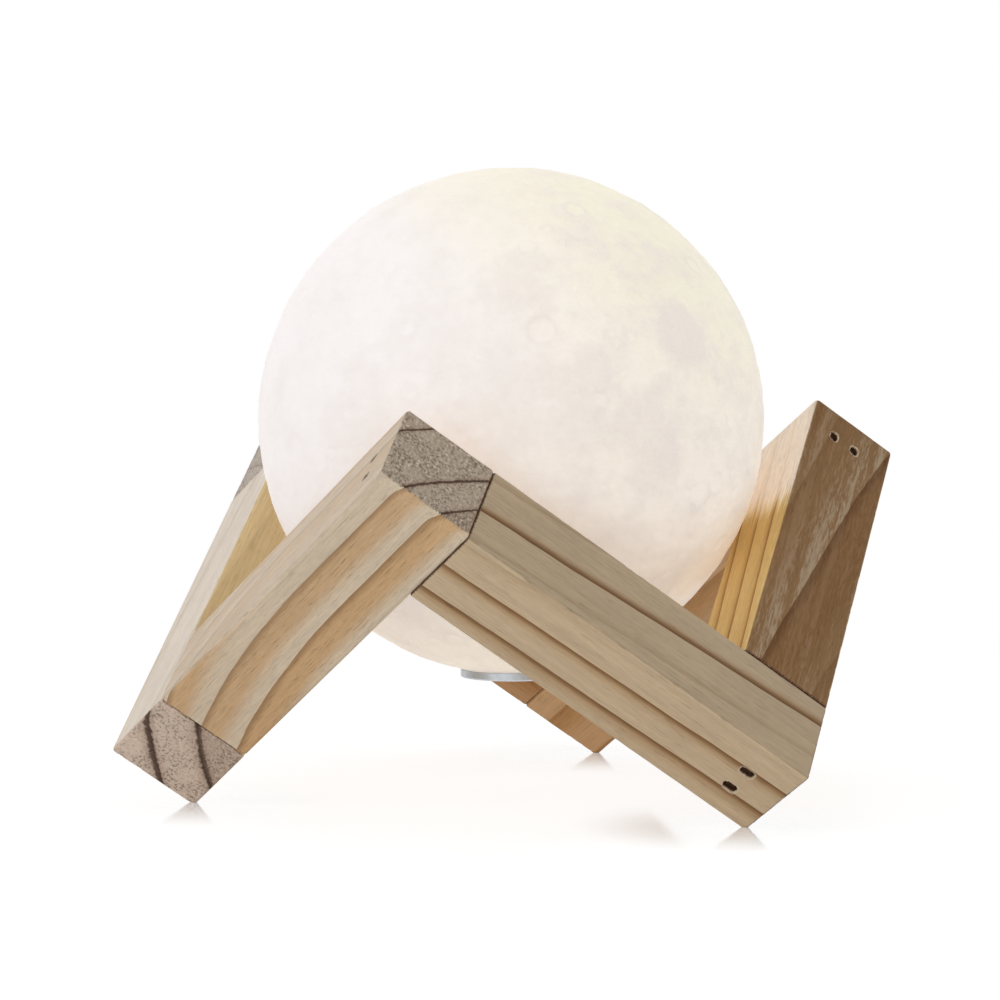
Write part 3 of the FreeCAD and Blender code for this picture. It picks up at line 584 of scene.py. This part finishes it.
def pine(index, name):
    """The wood of one stick, drawn in the stick's own millimetres."""
    board = BOARDS[name]
    tree = Surface("pine_" + name)
    axes, butt = stick_axes(index)
    local = tree.mapped(tree.place, (MM,) * 3, butt, axes.to_euler(), kind="TEXTURE")
    x, y, z = tree.split(local)
    butt_face = x.step(0.15, 0.3).flipped()
    lines = growth_lines(tree, local, board, board["rings"])
    if "rings_z" in board:
        across_z = on_face(y, z, "|z", 0.04)
        lines_z = growth_lines(tree, local, board, board["rings_z"])
        lines = [one * across_z.flipped() + two * across_z for one, two in zip(lines, lines_z)]

    # Grain drawn out along the stick; the three scales are in features per millimetre.
    fibre = tree.noise(tree.mapped(local, (0.035, 1.5, 1.5)), 1.0, 4.0, 0.65)
    streak = tree.noise(tree.mapped(local, (0.012, 0.35, 0.35), (5, 5, 5)), 1.0, 3.0)
    fleck = tree.noise(tree.mapped(local, (0.15, 2.3, 2.3), (9, 9, 9)), 1.0, 2.0).step(0.60, 0.72)
    cloud = tree.noise(local, 0.045, 3.0)
    mottle = tree.noise(tree.mapped(local, (0.2, 1.3, 1.3), (3, 3, 3)), 1.0, 4.0, 0.75)
    grains = (fibre, streak, fleck, mottle)
    end_face = (x + (mottle - 0.5) * 1.2).step(SHOW_END - 0.72, SHOW_END - 0.52)
    end_face = end_face.math("MAXIMUM", butt_face)

    face, late = ring_tones(tree, x, y, z, lines, grains, name)
    grain_end, rough = end_grain(tree, local, lines, board)
    tone = (fibre - 0.5) * 0.42 + (streak - 0.5) * 0.24 + (cloud - 0.5) * 0.14
    face = tree.shade(face, tone + (mottle - 0.5) * board["coarse"] + 1.0)
    colour = tree.mix(end_face, face, grain_end)
    # Painted shade: a dark line where the sticks meet, along the show end's edge and at the butt end.
    joint = x.step(SHOW_END - 0.7, SHOW_END - 0.45) * y.step(HALF - 0.45, HALF - 0.2)
    joint = joint.math("MAXIMUM", (x + (mottle - 0.5) * 1.4).step(0.0, 0.5).flipped()) * 0.8
    colour = tree.mix(joint, colour, JOINT_SHADE)
    colour, torn = recess_marks(tree, x, y, z, grains, colour, name)

    height = fibre * 0.5 + late * 0.4 + mottle * board["coarse"] + rough * end_face * 0.9
    tree.bump(height - fleck * 0.3 + torn * 0.5, 0.00025, 0.8)
    tree.set(Base_Color=colour, Roughness=(fibre - 0.5) * 0.2 + 0.62, Specular_IOR_Level=0.1)
    return tree.material


# ------------------------------------------------------------- printed globe
GLOBE_CENTRE = Vector((0, 0, GLOBE_CENTRE_HEIGHT)) * MM
# The bottom opening, and the angle over which the relief dies out towards it.
OPENING_RADIUS, LIP_ANGLE = 14.0, 0.05
FACES_ROUND, FACES_DOWN, FACES_DOWN_INSIDE = 640, 330, 60
RELIEF_DEPTH = 0.62
CRATER_SEED, CRATER_COUNT = 11, 900
SMALLEST_CRATER, CRATER_SPREAD = 0.010, 0.042
# A crater's bowl and rim as shares of its depth, the power that shapes the bowl, and where its rim
# stands and how wide, in radii.
CRATER_BOWL, BOWL_POWER, CRATER_RIM, RIM_PLACE, RIM_WIDTH = 0.5, 0.8, 0.55, 1.05, 0.22
# The relief's rolling and fine roughness, and how far plains rise and how much they calm the rest.
ROLLING, FINE_ROUGHNESS, PLAIN_RISE, PLAIN_CALM = 0.16, 0.10, 0.24, 0.80
# How ragged and how soft the edges of plains are.
ROUND_EDGE, RAGGED_EDGE = (0.06, 0.016), (0.50, 0.034)
# The colours of the plastic with light painted in: towards each side as the studio light falls,
# brighter at the bottom as the lamp's glow, and painted shade where the print is thickest.
GLOBE_LEFT, GLOBE_RIGHT, GLOBE_TOP = srgb(235, 230, 229), srgb(238, 229, 217), srgb(232, 226, 206)
GLOBE_LOW, GLOBE_UNDER_GLOW, GLOBE_THICK_SHADE = srgb(239, 231, 222), srgb(252, 243, 229), srgb(223, 214, 207)
GLOBE_GLOW = 0.36
# Fixed directions of the lamp, as its front view has them, that place the globe's painted light and its
# plains.
FRONT = -CAMERA_AIM.normalized()
RIGHT = CAMERA_AIM.cross(Vector((0, 0, 1))).normalized()
UP = RIGHT.cross(CAMERA_AIM).normalized()
TOP_SIDE, LOW_SIDE = (UP * 0.85 + RIGHT * 0.55).normalized(), (RIGHT * 0.5 - UP * 0.8).normalized()


def seen_at(across, up, behind=False):
    """The direction on the globe that the front view shows at (across, up), in globe radii."""
    depth = math.sqrt(max(0.0, 1 - across * across - up * up))
    return (RIGHT * across + UP * up + FRONT * (-depth if behind else depth)).normalized()


# Lava plains: where the front view shows them, or would show those behind, in globe radii; their
# angular radius; and how strong they are. A strength above 1 marks a plain with a round edge.
PLAINS_IN_FRONT = [
    (0.13, 0.22, 0.24, 0.25), (0.06, 0.02, 0.20, 0.15), (0.02, 0.50, 0.16, 0.3),
    (0.28, 0.12, 0.17, 0.45), (0.50, -0.01, 0.17, 0.62), (0.54, -0.20, 0.12, 0.5),
    (0.640, 0.312, 0.125, 1.6), (-0.25, 0.30, 0.16, 0.2), (-0.12, 0.12, 0.13, 0.2),
    (0.36, -0.45, 0.10, 0.5), (-0.55, -0.05, 0.20, 0.35),
]
PLAINS_BEHIND = [(0.3, 0.2, 0.12, 0.9), (-0.35, 0.4, 0.20, 0.8), (-0.1, -0.3, 0.26, 0.7),
                 (0.55, -0.2, 0.16, 0.9)]
PLAINS = [(seen_at(across, up), size, weight) for across, up, size, weight in PLAINS_IN_FRONT]
PLAINS += [(seen_at(across, up, True), size, weight) for across, up, size, weight in PLAINS_BEHIND]
PLAINS.append((Vector((0.1, 0.2, 1)).normalized(), 0.16, 0.5))


def crater_relief(points, seed, count):
    """Height that seeded round craters with raised rims add at each point, before scaling."""
    draws = np.random.default_rng(seed)
    relief = np.zeros(len(points))
    for _ in range(count):
        middle = draws.normal(size=3)
        middle /= np.linalg.norm(middle)
        # Most craters are small, and the larger ones are deeper.
        size = SMALLEST_CRATER + CRATER_SPREAD * draws.power(0.35) ** 3
        depth = (0.10 + 2.6 * size) * (0.5 + 0.7 * draws.random())
        cosine = points @ middle
        near = np.nonzero(cosine > math.cos(min(size * 2.2, 1.2)))[0]
        reach = np.arccos(np.clip(cosine[near], -1, 1)) / size
        bowl = -np.maximum(1 - reach ** 2, 0) ** BOWL_POWER * CRATER_BOWL
        rim = CRATER_RIM * np.exp(-((reach - RIM_PLACE) / RIM_WIDTH) ** 2)
        relief[near] += depth * (bowl + rim)
    return relief


def plain_level(points, ragged):
    """How far each point lies inside a lava plain, from 0 to about 1."""
    level = np.zeros(len(points))
    for direction, size, weight in PLAINS:
        angle = np.arccos(np.clip(points @ np.array(direction), -1, 1))
        jag, soft = ROUND_EDGE if weight > 1 else RAGGED_EDGE
        edge = size * (1 + jag * ragged)
        level = np.maximum(level, min(weight, 1.0) / (1 + np.exp((angle - edge) / soft)))
    return level


def globe_relief(points):
    """Height of the printed surface above the plain sphere, never above it, in millimetres."""
    rough = np.array([noise.fractal(Vector(p) * 5.0, 0.9, 2.1, 5) for p in points])
    fine = np.array([noise.fractal(Vector(p) * 24.0, 0.7, 2.2, 4) for p in points])
    plains = plain_level(points, rough)
    craters = crater_relief(points, CRATER_SEED, CRATER_COUNT)
    highland = ROLLING * rough + FINE_ROUGHNESS * fine + craters
    relief = highland * (1 - PLAIN_CALM * plains) + PLAIN_RISE * plains
    low, high = np.percentile(relief, (0.5, 99.7))
    scaled = np.clip((relief - low) / (high - low), 0, 1)
    return (scaled - 1) * RELIEF_DEPTH


def make_globe():
    """The printed shell: a carved outside and a smooth inside that meet at the bottom opening."""
    opening = math.asin(OPENING_RADIUS / GLOBE_RADIUS)
    downs = np.linspace(0, math.pi - opening, FACES_DOWN + 1)[1:]
    rounds = np.arange(FACES_ROUND) * 2 * math.pi / FACES_ROUND
    down, around = np.meshgrid(downs, rounds, indexing="ij")
    rows = np.stack([np.sin(down) * np.cos(around), np.sin(down) * np.sin(around), np.cos(down)], -1)
    points = np.concatenate([[[0.0, 0.0, 1.0]], rows.reshape(-1, 3)])
    relief = globe_relief(points)
    lip = np.clip((math.pi - opening - np.concatenate([[0], down.reshape(-1)])) / LIP_ANGLE, 0, 1)
    outer = points * (GLOBE_RADIUS + relief * lip)[:, None]

    inner_radius = GLOBE_RADIUS - SHELL_WALL
    inner_down = math.pi - math.asin(OPENING_RADIUS / inner_radius)
    inner_downs = np.linspace(inner_down, 0, FACES_DOWN_INSIDE)[:-1]
    inner = [(inner_radius * math.sin(d) * np.cos(rounds), inner_radius * math.sin(d) * np.sin(rounds),
              np.full(FACES_ROUND, inner_radius * math.cos(d))) for d in inner_downs]
    inner = np.concatenate([np.stack(ring, -1) for ring in inner])
    coordinates = np.concatenate([outer, inner, [[0, 0, inner_radius]]]) * MM + np.array(GLOBE_CENTRE)

    rings = FACES_DOWN + len(inner_downs)
    step = np.arange(FACES_ROUND)
    ahead = (step + 1) % FACES_ROUND
    faces = [(0, 1 + a, 1 + b) for a, b in zip(step, ahead)]
    for row in range(rings - 1):
        upper, lower = 1 + row * FACES_ROUND, 1 + (row + 1) * FACES_ROUND
        faces += [(upper + a, lower + a, lower + b, upper + b) for a, b in zip(step, ahead)]
    last, pole = 1 + (rings - 1) * FACES_ROUND, len(coordinates) - 1
    faces += [(last + b, last + a, pole) for a, b in zip(step, ahead)]
    mesh = bpy.data.meshes.new("moon_globe")
    mesh.from_pydata(coordinates.tolist(), [], [tuple(map(int, face)) for face in faces])
    mesh.shade_smooth()
    globe = bpy.data.objects.new("moon_globe", mesh)
    bpy.context.scene.collection.objects.link(globe)
    mesh.materials.append(moon_print())
    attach(globe, "globe")
    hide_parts("moon_shell")


def moon_print():
    """Lit printed plastic, with light and shade painted in: pinkish on its left, cream on its right,
    yellow-green at its top, brighter at its bottom and darker where the print is thickest.
    """
    tree = Surface("moon_print")
    offset = tree.vector("SUBTRACT", tree.place, tuple(GLOBE_CENTRE))
    outward = tree.vector("NORMALIZE", offset)
    radius = tree.vector("LENGTH", offset, output=1) / MM
    height = (radius - (GLOBE_RADIUS - RELIEF_DEPTH)) / RELIEF_DEPTH
    tone = height.step(0.15, 0.95)
    haze = tree.noise(outward, 2.6, 4.0)
    mottle = tree.noise(outward, 15.0, 5.0, 0.6)
    grain = tree.noise(outward, 70.0, 3.0, 0.7)

    leftness = (tree.along(outward, -RIGHT) + (haze - 0.5) * 0.5).step(-0.60, 0.60)
    topness = tree.along(outward, TOP_SIDE) + (haze - 0.5) * 0.3
    lowness = tree.along(outward, LOW_SIDE) + (haze - 0.5) * 0.3
    underness = tree.along(outward, -UP).step(0.5, 1.0)
    rightness = leftness.flipped()
    # Painted light: tones by side as the studio light falls, brighter at the bottom as the lamp's glow,
    # and painted shade where the print is thickest.
    colour = tree.mix(leftness, GLOBE_RIGHT, GLOBE_LEFT)
    colour = tree.mix(topness.step(0.20, 1.0), colour, GLOBE_TOP)
    colour = tree.mix(lowness.step(0.25, 1.0) * 0.9, colour, GLOBE_LOW)
    colour = tree.mix(underness * 0.9, colour, GLOBE_UNDER_GLOW)
    colour = tree.mix(tone * (rightness * 0.40 + 0.35), colour, GLOBE_THICK_SHADE)
    level = (mottle - 0.5) * 0.08 + (grain - 0.5) * (rightness * 0.15 + 0.03) + 1.0
    colour = tree.shade(colour, level)

    tree.bump(grain * 0.6 + mottle * 0.4, 0.0002, 0.6)
    tree.set(Base_Color=colour, Roughness=(mottle - 0.5) * 0.15 + 0.58, Emission_Color=colour,
             Emission_Strength=GLOBE_GLOW)
    return tree.material


# ----------------------------------------------------- metal, plastic, boards
# Patterns here have their scale in features per metre, and bumps their height in metres.
def around_axis(tree):
    """Coordinates that follow turning marks round the lamp's axis: angle, radius and height."""
    x, y, z = tree.split(tree.place)
    angle = y.math("ARCTAN2", x)
    radius = (x * x + y * y).math("SQRT")
    return tree.join(angle * 0.004, radius, z)


def brushed(name, colour, roughness=0.32, turned=True, stain=(96, 84, 72)):
    """Metal with fine tool marks, a few scratches and a dull film in places."""
    tree = Surface(name)
    lay = around_axis(tree) if turned else tree.mapped(tree.place, (0.15, 1, 1))
    mark = tree.noise(lay, 5200.0, 3.0, 0.7)
    film = tree.noise(tree.place, 420.0, 4.0, 0.6)
    scratch = tree.noise(tree.mapped(tree.place, (0.08, 1, 0.6), turn=(0.3, 0.2, 0.7)), 3000.0, 1.0)
    scratch = scratch.step(0.66, 0.72)
    base = tree.mix((film - 0.5) * 0.9 + 0.18, srgb(*colour), srgb(*stain))
    tree.bump(mark * 0.7 - scratch * 0.5, 0.00003, 0.5)
    tree.set(Base_Color=tree.shade(base, (mark - 0.5) * 0.22 + 1.0), Metallic=1.0,
             Roughness=(film - 0.5) * 0.3 + (mark - 0.5) * 0.15 + roughness)
    return tree.material


def moulded(name, colour, roughness=0.42, soil=0.10):
    """Moulded plastic: fine spark-eroded skin, faint flow marks and handling soil."""
    tree = Surface(name)
    skin = tree.cells(tree.place, 1800.0).math("POWER", 2.0)
    flow = tree.noise(tree.mapped(tree.place, (1, 1, 0.25)), 120.0, 4.0)
    rub = tree.noise(tree.place, 900.0, 3.0, 0.6)
    base = tree.mix(flow.step(0.45, 0.75) * soil, srgb(*colour), srgb(150, 138, 122))
    tree.bump(skin + rub * 0.4, 0.00004, 0.5)
    tree.set(Base_Color=tree.shade(base, (rub - 0.5) * 0.06 + 1.0),
             Roughness=(rub - 0.5) * 0.2 + (flow - 0.5) * 0.12 + roughness)
    return tree.material


def circuit_board():
    """Green solder mask over copper tracks, with tinned pads."""
    tree = Surface("board_green")
    grid = tree.mapped(tree.place, turn=(0, 0, 0.785))
    tracks = tree.cells(tree.mapped(grid, (1, 0.35, 1)), 700.0, "DISTANCE_TO_EDGE").step(0.05, 0.09)
    pads = tree.cells(tree.place, 520.0).step(0.10, 0.13).flipped()
    weave = tree.noise(tree.mapped(tree.place, (1, 1, 0.2)), 2400.0, 2.0)
    base = tree.mix(tracks, srgb(38, 122, 66), srgb(16, 92, 48))
    base = tree.mix(pads, base, srgb(202, 204, 200))
    tree.bump(tracks.flipped() + pads * 0.8 + weave * 0.2, 0.00005, 0.7)
    tree.set(Base_Color=tree.shade(base, (weave - 0.5) * 0.14 + 1.0), Metallic=pads * 0.9,
             Roughness=(weave - 0.5) * 0.2 + 0.34)
    return tree.material


def led_packages():
    """Yellow phosphor under clear resin in a white frame."""
    tree = Surface("led_yellow")
    dust = tree.noise(tree.place, 3600.0, 4.0, 0.7)
    dome = tree.noise(tree.place, 700.0, 2.0)
    base = tree.mix(dust.step(0.35, 0.7), srgb(250, 226, 120), srgb(238, 196, 72))
    tree.bump(dust * 0.4 + dome, 0.00004, 0.5)
    tree.set(Base_Color=base, Roughness=(dust - 0.5) * 0.1 + 0.22, Emission_Color=base,
             Emission_Strength=0.5)
    return tree.material


def clear_lens():
    """Clear polished light pipe with a faint blue cast and fine scratches."""
    tree = Surface("lens_clear")
    haze = tree.noise(tree.place, 1500.0, 3.0)
    scratch = tree.noise(tree.mapped(tree.place, (0.1, 1, 1), turn=(0, 0, 0.5)), 5000.0, 1.0)
    base = tree.mix(haze, srgb(232, 240, 246), srgb(206, 222, 236))
    tree.bump(scratch.step(0.6, 0.7) + haze * 0.2, 0.00002, 0.4)
    tree.set(Base_Color=base, Roughness=(haze - 0.5) * 0.12 + 0.12, Transmission_Weight=0.75)
    return tree.material


# Height of the cell's middle, and how far from it the film ends, in millimetres.
CELL_MIDDLE, WRAP_EDGE = 65.0, (15.6, 16.2)


def cell_wrap():
    """Blue heat-shrunk film with fine wrinkles and a lengthwise seam."""
    tree = Surface("cell_wrap")
    wrinkle = tree.noise(tree.mapped(tree.place, (1, 1, 0.25)), 900.0, 4.0, 0.6)
    glitter = tree.noise(tree.place, 4200.0, 2.0)
    x, y, z = tree.split(tree.place)
    seam = (x / MM).math("ABSOLUTE").step(0.15, 0.35).flipped() * y.step(-0.001, 0.001)
    ends = (z / MM - CELL_MIDDLE).math("ABSOLUTE").step(*WRAP_EDGE)
    base = tree.mix(wrinkle.step(0.3, 0.8), srgb(38, 92, 172), srgb(26, 66, 134))
    base = tree.mix(seam * 0.7, base, srgb(18, 44, 96))
    base = tree.mix(ends, base, srgb(178, 180, 184))
    tree.bump(wrinkle + seam * 0.8 + glitter * 0.1, 0.00008, 0.6)
    tree.set(Base_Color=base, Metallic=ends * 0.8, Roughness=(wrinkle - 0.5) * 0.25 + 0.3)
    return tree.material


def lead_cover():
    """Red silicone insulation with faint drawing lines and dust."""
    tree = Surface("lead_rubber")
    drawn = tree.noise(tree.mapped(tree.place, (1, 1, 0.06)), 5200.0, 3.0)
    dust = tree.noise(tree.place, 700.0, 4.0, 0.65)
    base = tree.mix(dust.step(0.5, 0.8) * 0.3, srgb(186, 34, 30), srgb(198, 132, 118))
    tree.bump(drawn + dust * 0.3, 0.00004, 0.5)
    tree.set(Base_Color=tree.shade(base, (drawn - 0.5) * 0.2 + 1.0), Roughness=(dust - 0.5) * 0.2 + 0.5)
    return tree.material


def foam():
    """Dark open-cell foam."""
    tree = Surface("pad_foam")
    cell = tree.cells(tree.place, 1500.0)
    strut = tree.noise(tree.place, 2600.0, 3.0)
    base = tree.mix(cell.step(0.1, 0.5), srgb(30, 30, 31), srgb(68, 67, 66))
    tree.bump(cell + strut * 0.3, 0.0003, 0.9)
    tree.set(Base_Color=base, Roughness=(strut - 0.5) * 0.1 + 0.9)
    return tree.material


def led_plate():
    """White lacquered aluminium plate with faint copper tracks under the lacquer."""
    tree = Surface("led_board_white")
    track = tree.cells(tree.mapped(tree.place, (1, 0.4, 1)), 420.0, "DISTANCE_TO_EDGE").step(0.03, 0.08)
    skin = tree.noise(tree.place, 1900.0, 3.0)
    base = tree.mix(track, srgb(222, 220, 212), srgb(240, 240, 238))
    tree.bump(track.flipped() * 0.7 + skin * 0.2, 0.00003, 0.6)
    tree.set(Base_Color=base, Roughness=(skin - 0.5) * 0.2 + 0.36)
    return tree.material


def frosted_dome():
    """Frosted diffuser, lit from within."""
    tree = Surface("dome_frosted")
    frost = tree.noise(tree.place, 3000.0, 3.0, 0.7)
    flow = tree.noise(tree.place, 90.0, 3.0)
    base = tree.mix(flow, srgb(248, 246, 240), srgb(240, 236, 226))
    tree.bump(frost, 0.00004, 0.6)
    tree.set(Base_Color=base, Roughness=(frost - 0.5) * 0.2 + 0.5, Emission_Color=base,
             Emission_Strength=0.8)
    return tree.material


def dress(material, *names):
    """Gives CAD nodes a material."""
    for name in names:
        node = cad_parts[name]
        if not node.material_slots:
            node.data.materials.append(material)
        for slot in node.material_slots:
            slot.material = material


def dress_all():
    # The brad heads are coloured dark brown as painted shade of the recesses they sit in.
    dress(brushed("brad_steel", (84, 62, 48), 0.60, turned=False, stain=(58, 34, 22)), "brads")
    dress(brushed("ring_steel", (214, 221, 228), 0.48, stain=(172, 180, 188)), "base_ring")
    dress(brushed("screw_steel", (176, 176, 180), 0.32), "cap_screws", "carrier_screws")
    dress(brushed("socket_steel", (206, 206, 208), 0.28, turned=False), "charge_socket", "cell_tabs")
    dress(moulded("barrel_plastic", (240, 240, 238)), "base_barrel", "battery_cradle", "led_carrier")
    dress(moulded("cap_plastic", (236, 235, 231), 0.38, soil=0.22), "base_cap")
    dress(moulded("button_plastic", (222, 222, 222), 0.34, soil=0.30), "mode_button", "switch_plunger")
    dress(moulded("switch_plastic", (42, 42, 44), 0.55, soil=0.05), "switch_body", "control_chips")
    dress(circuit_board(), "control_board")
    dress(led_packages(), "led_chips", "charge_led")
    dress(clear_lens(), "indicator_lens")
    dress(cell_wrap(), "battery_cell")
    dress(lead_cover(), "battery_leads", "lamp_leads")
    dress(foam(), "cell_pad")
    dress(led_plate(), "led_board")
    dress(frosted_dome(), "diffuser_dome")


# ------------------------------------------------------ floor, light, camera
# The floor's half width and look, and how far from each foot its polish reaches, in metres.
FLOOR_REACH = 6.0
FLOOR_COLOUR, PLAIN_WHITE = (0.86, 0.86, 0.86, 1), (1, 1, 1, 1)
FLOOR_GLOW = 0.50
FLOOR_POLISH, POLISH_ROUGHNESS, POLISH_REACH = 0.62, 0.09, 0.052
# How far out the shadow fades to white, and how much of it is lifted to white everywhere.
SHADOW_REACH, SHADOW_LIFT = (0.16, 0.55), 0.55
FEET = [(0.0825, -0.0475, 0), (-0.0824, -0.0477, 0), (-0.0001, 0.0952, 0)]
WORLD_LIGHT = 0.62
# Each lamp's name, place, width and power.
LAMPS = [("key", (-1.1, -1.0, 0.9), 0.9, 2.9), ("top", (0.0, 0.2, 1.6), 1.2, 1.4),
         ("fill", (1.0, -1.3, 0.4), 1.0, 1.6)]
LAMP_AIM = Vector((0, 0, 0.09))


def seen_directly(tree):
    """One for camera, glossy and transmission rays, else nothing."""
    path = tree.new("ShaderNodeLightPath")
    camera, glossy, through = (Value(tree, path.outputs[f"Is {kind} Ray"])
                               for kind in ("Camera", "Glossy", "Transmission"))
    return camera.math("MAXIMUM", glossy).math("MAXIMUM", through)


def near_feet(tree, place):
    """The floor's polish: strongest at the feet, and nothing a few centimetres away."""
    first, second, third = (tree.vector("DISTANCE", place, foot, output=1) for foot in FEET)
    nearest = first.math("MINIMUM", second).math("MINIMUM", third)
    return nearest.step(0, POLISH_REACH).flipped() * FLOOR_POLISH


def make_floor():
    """A wide white floor with the lamp's soft shadow, polished where the feet stand."""
    mesh = bpy.data.meshes.new("floor")
    corners = [(x * FLOOR_REACH, y * FLOOR_REACH, 0) for x, y in ((-1, -1), (1, -1), (1, 1), (-1, 1))]
    mesh.from_pydata(corners, [], [(0, 1, 2, 3)])
    floor = bpy.data.objects.new("floor", mesh)
    bpy.context.scene.collection.objects.link(floor)
    material = bpy.data.materials.new("floor_white")
    tree = Tree(material)
    place, seen = tree.object_place(), seen_directly(tree)
    matt = tree.shading("ShaderNodeBsdfDiffuse", Color=FLOOR_COLOUR)
    glow = tree.shading("ShaderNodeEmission", Strength=seen * FLOOR_GLOW)
    polish = tree.shading("ShaderNodeBsdfGlossy", Color=PLAIN_WHITE, Roughness=POLISH_ROUGHNESS)
    white = tree.shading("ShaderNodeEmission", Color=PLAIN_WHITE)
    both = tree.new("ShaderNodeAddShader")
    tree.put(matt, both.inputs[0])
    tree.put(glow, both.inputs[1])
    lit = tree.blend(seen * SHADOW_LIFT, Value(tree, both.outputs[0]), white)
    near = tree.blend(near_feet(tree, place), lit, polish)
    far_off = tree.vector("LENGTH", place, output=1).step(*SHADOW_REACH)
    tree.finish(tree.blend(far_off * seen, near, white))
    mesh.materials.append(material)


def make_world():
    """Even light from all sides, which the camera and reflections see as white."""
    world = bpy.data.worlds.new("studio")
    bpy.context.scene.world = world
    tree = Tree(world, "ShaderNodeOutputWorld")
    strength = seen_directly(tree) * (1 - WORLD_LIGHT) + WORLD_LIGHT
    tree.finish(tree.shading("ShaderNodeBackground", Color=PLAIN_WHITE, Strength=strength))


def make_lights():
    for name, place, width, power in LAMPS:
        light = bpy.data.lights.new(name, "AREA")
        light.shape, light.size, light.energy = "DISK", width, power
        lamp = bpy.data.objects.new(name, light)
        bpy.context.scene.collection.objects.link(lamp)
        lamp.location = place
        lamp.rotation_euler = (LAMP_AIM - Vector(place)).to_track_quat("-Z", "Y").to_euler()


def make_camera():
    camera = bpy.data.cameras.new("camera")
    camera.lens, camera.sensor_width = CAMERA_LENS, CAMERA_SENSOR
    camera.clip_start, camera.clip_end = 0.05, 50
    holder = bpy.data.objects.new("camera", camera)
    bpy.context.scene.collection.objects.link(holder)
    holder.location = CAMERA_PLACE
    holder.rotation_euler = CAMERA_AIM.to_track_quat("-Z", "Y").to_euler()
    bpy.context.scene.camera = holder


make_camera()
make_world()
make_lights()
make_floor()
dress_all()
for index, name in enumerate(BOARDS):
    make_stick(index, name)
make_globe()
bpy.context.scene.view_settings.view_transform = "Standard"
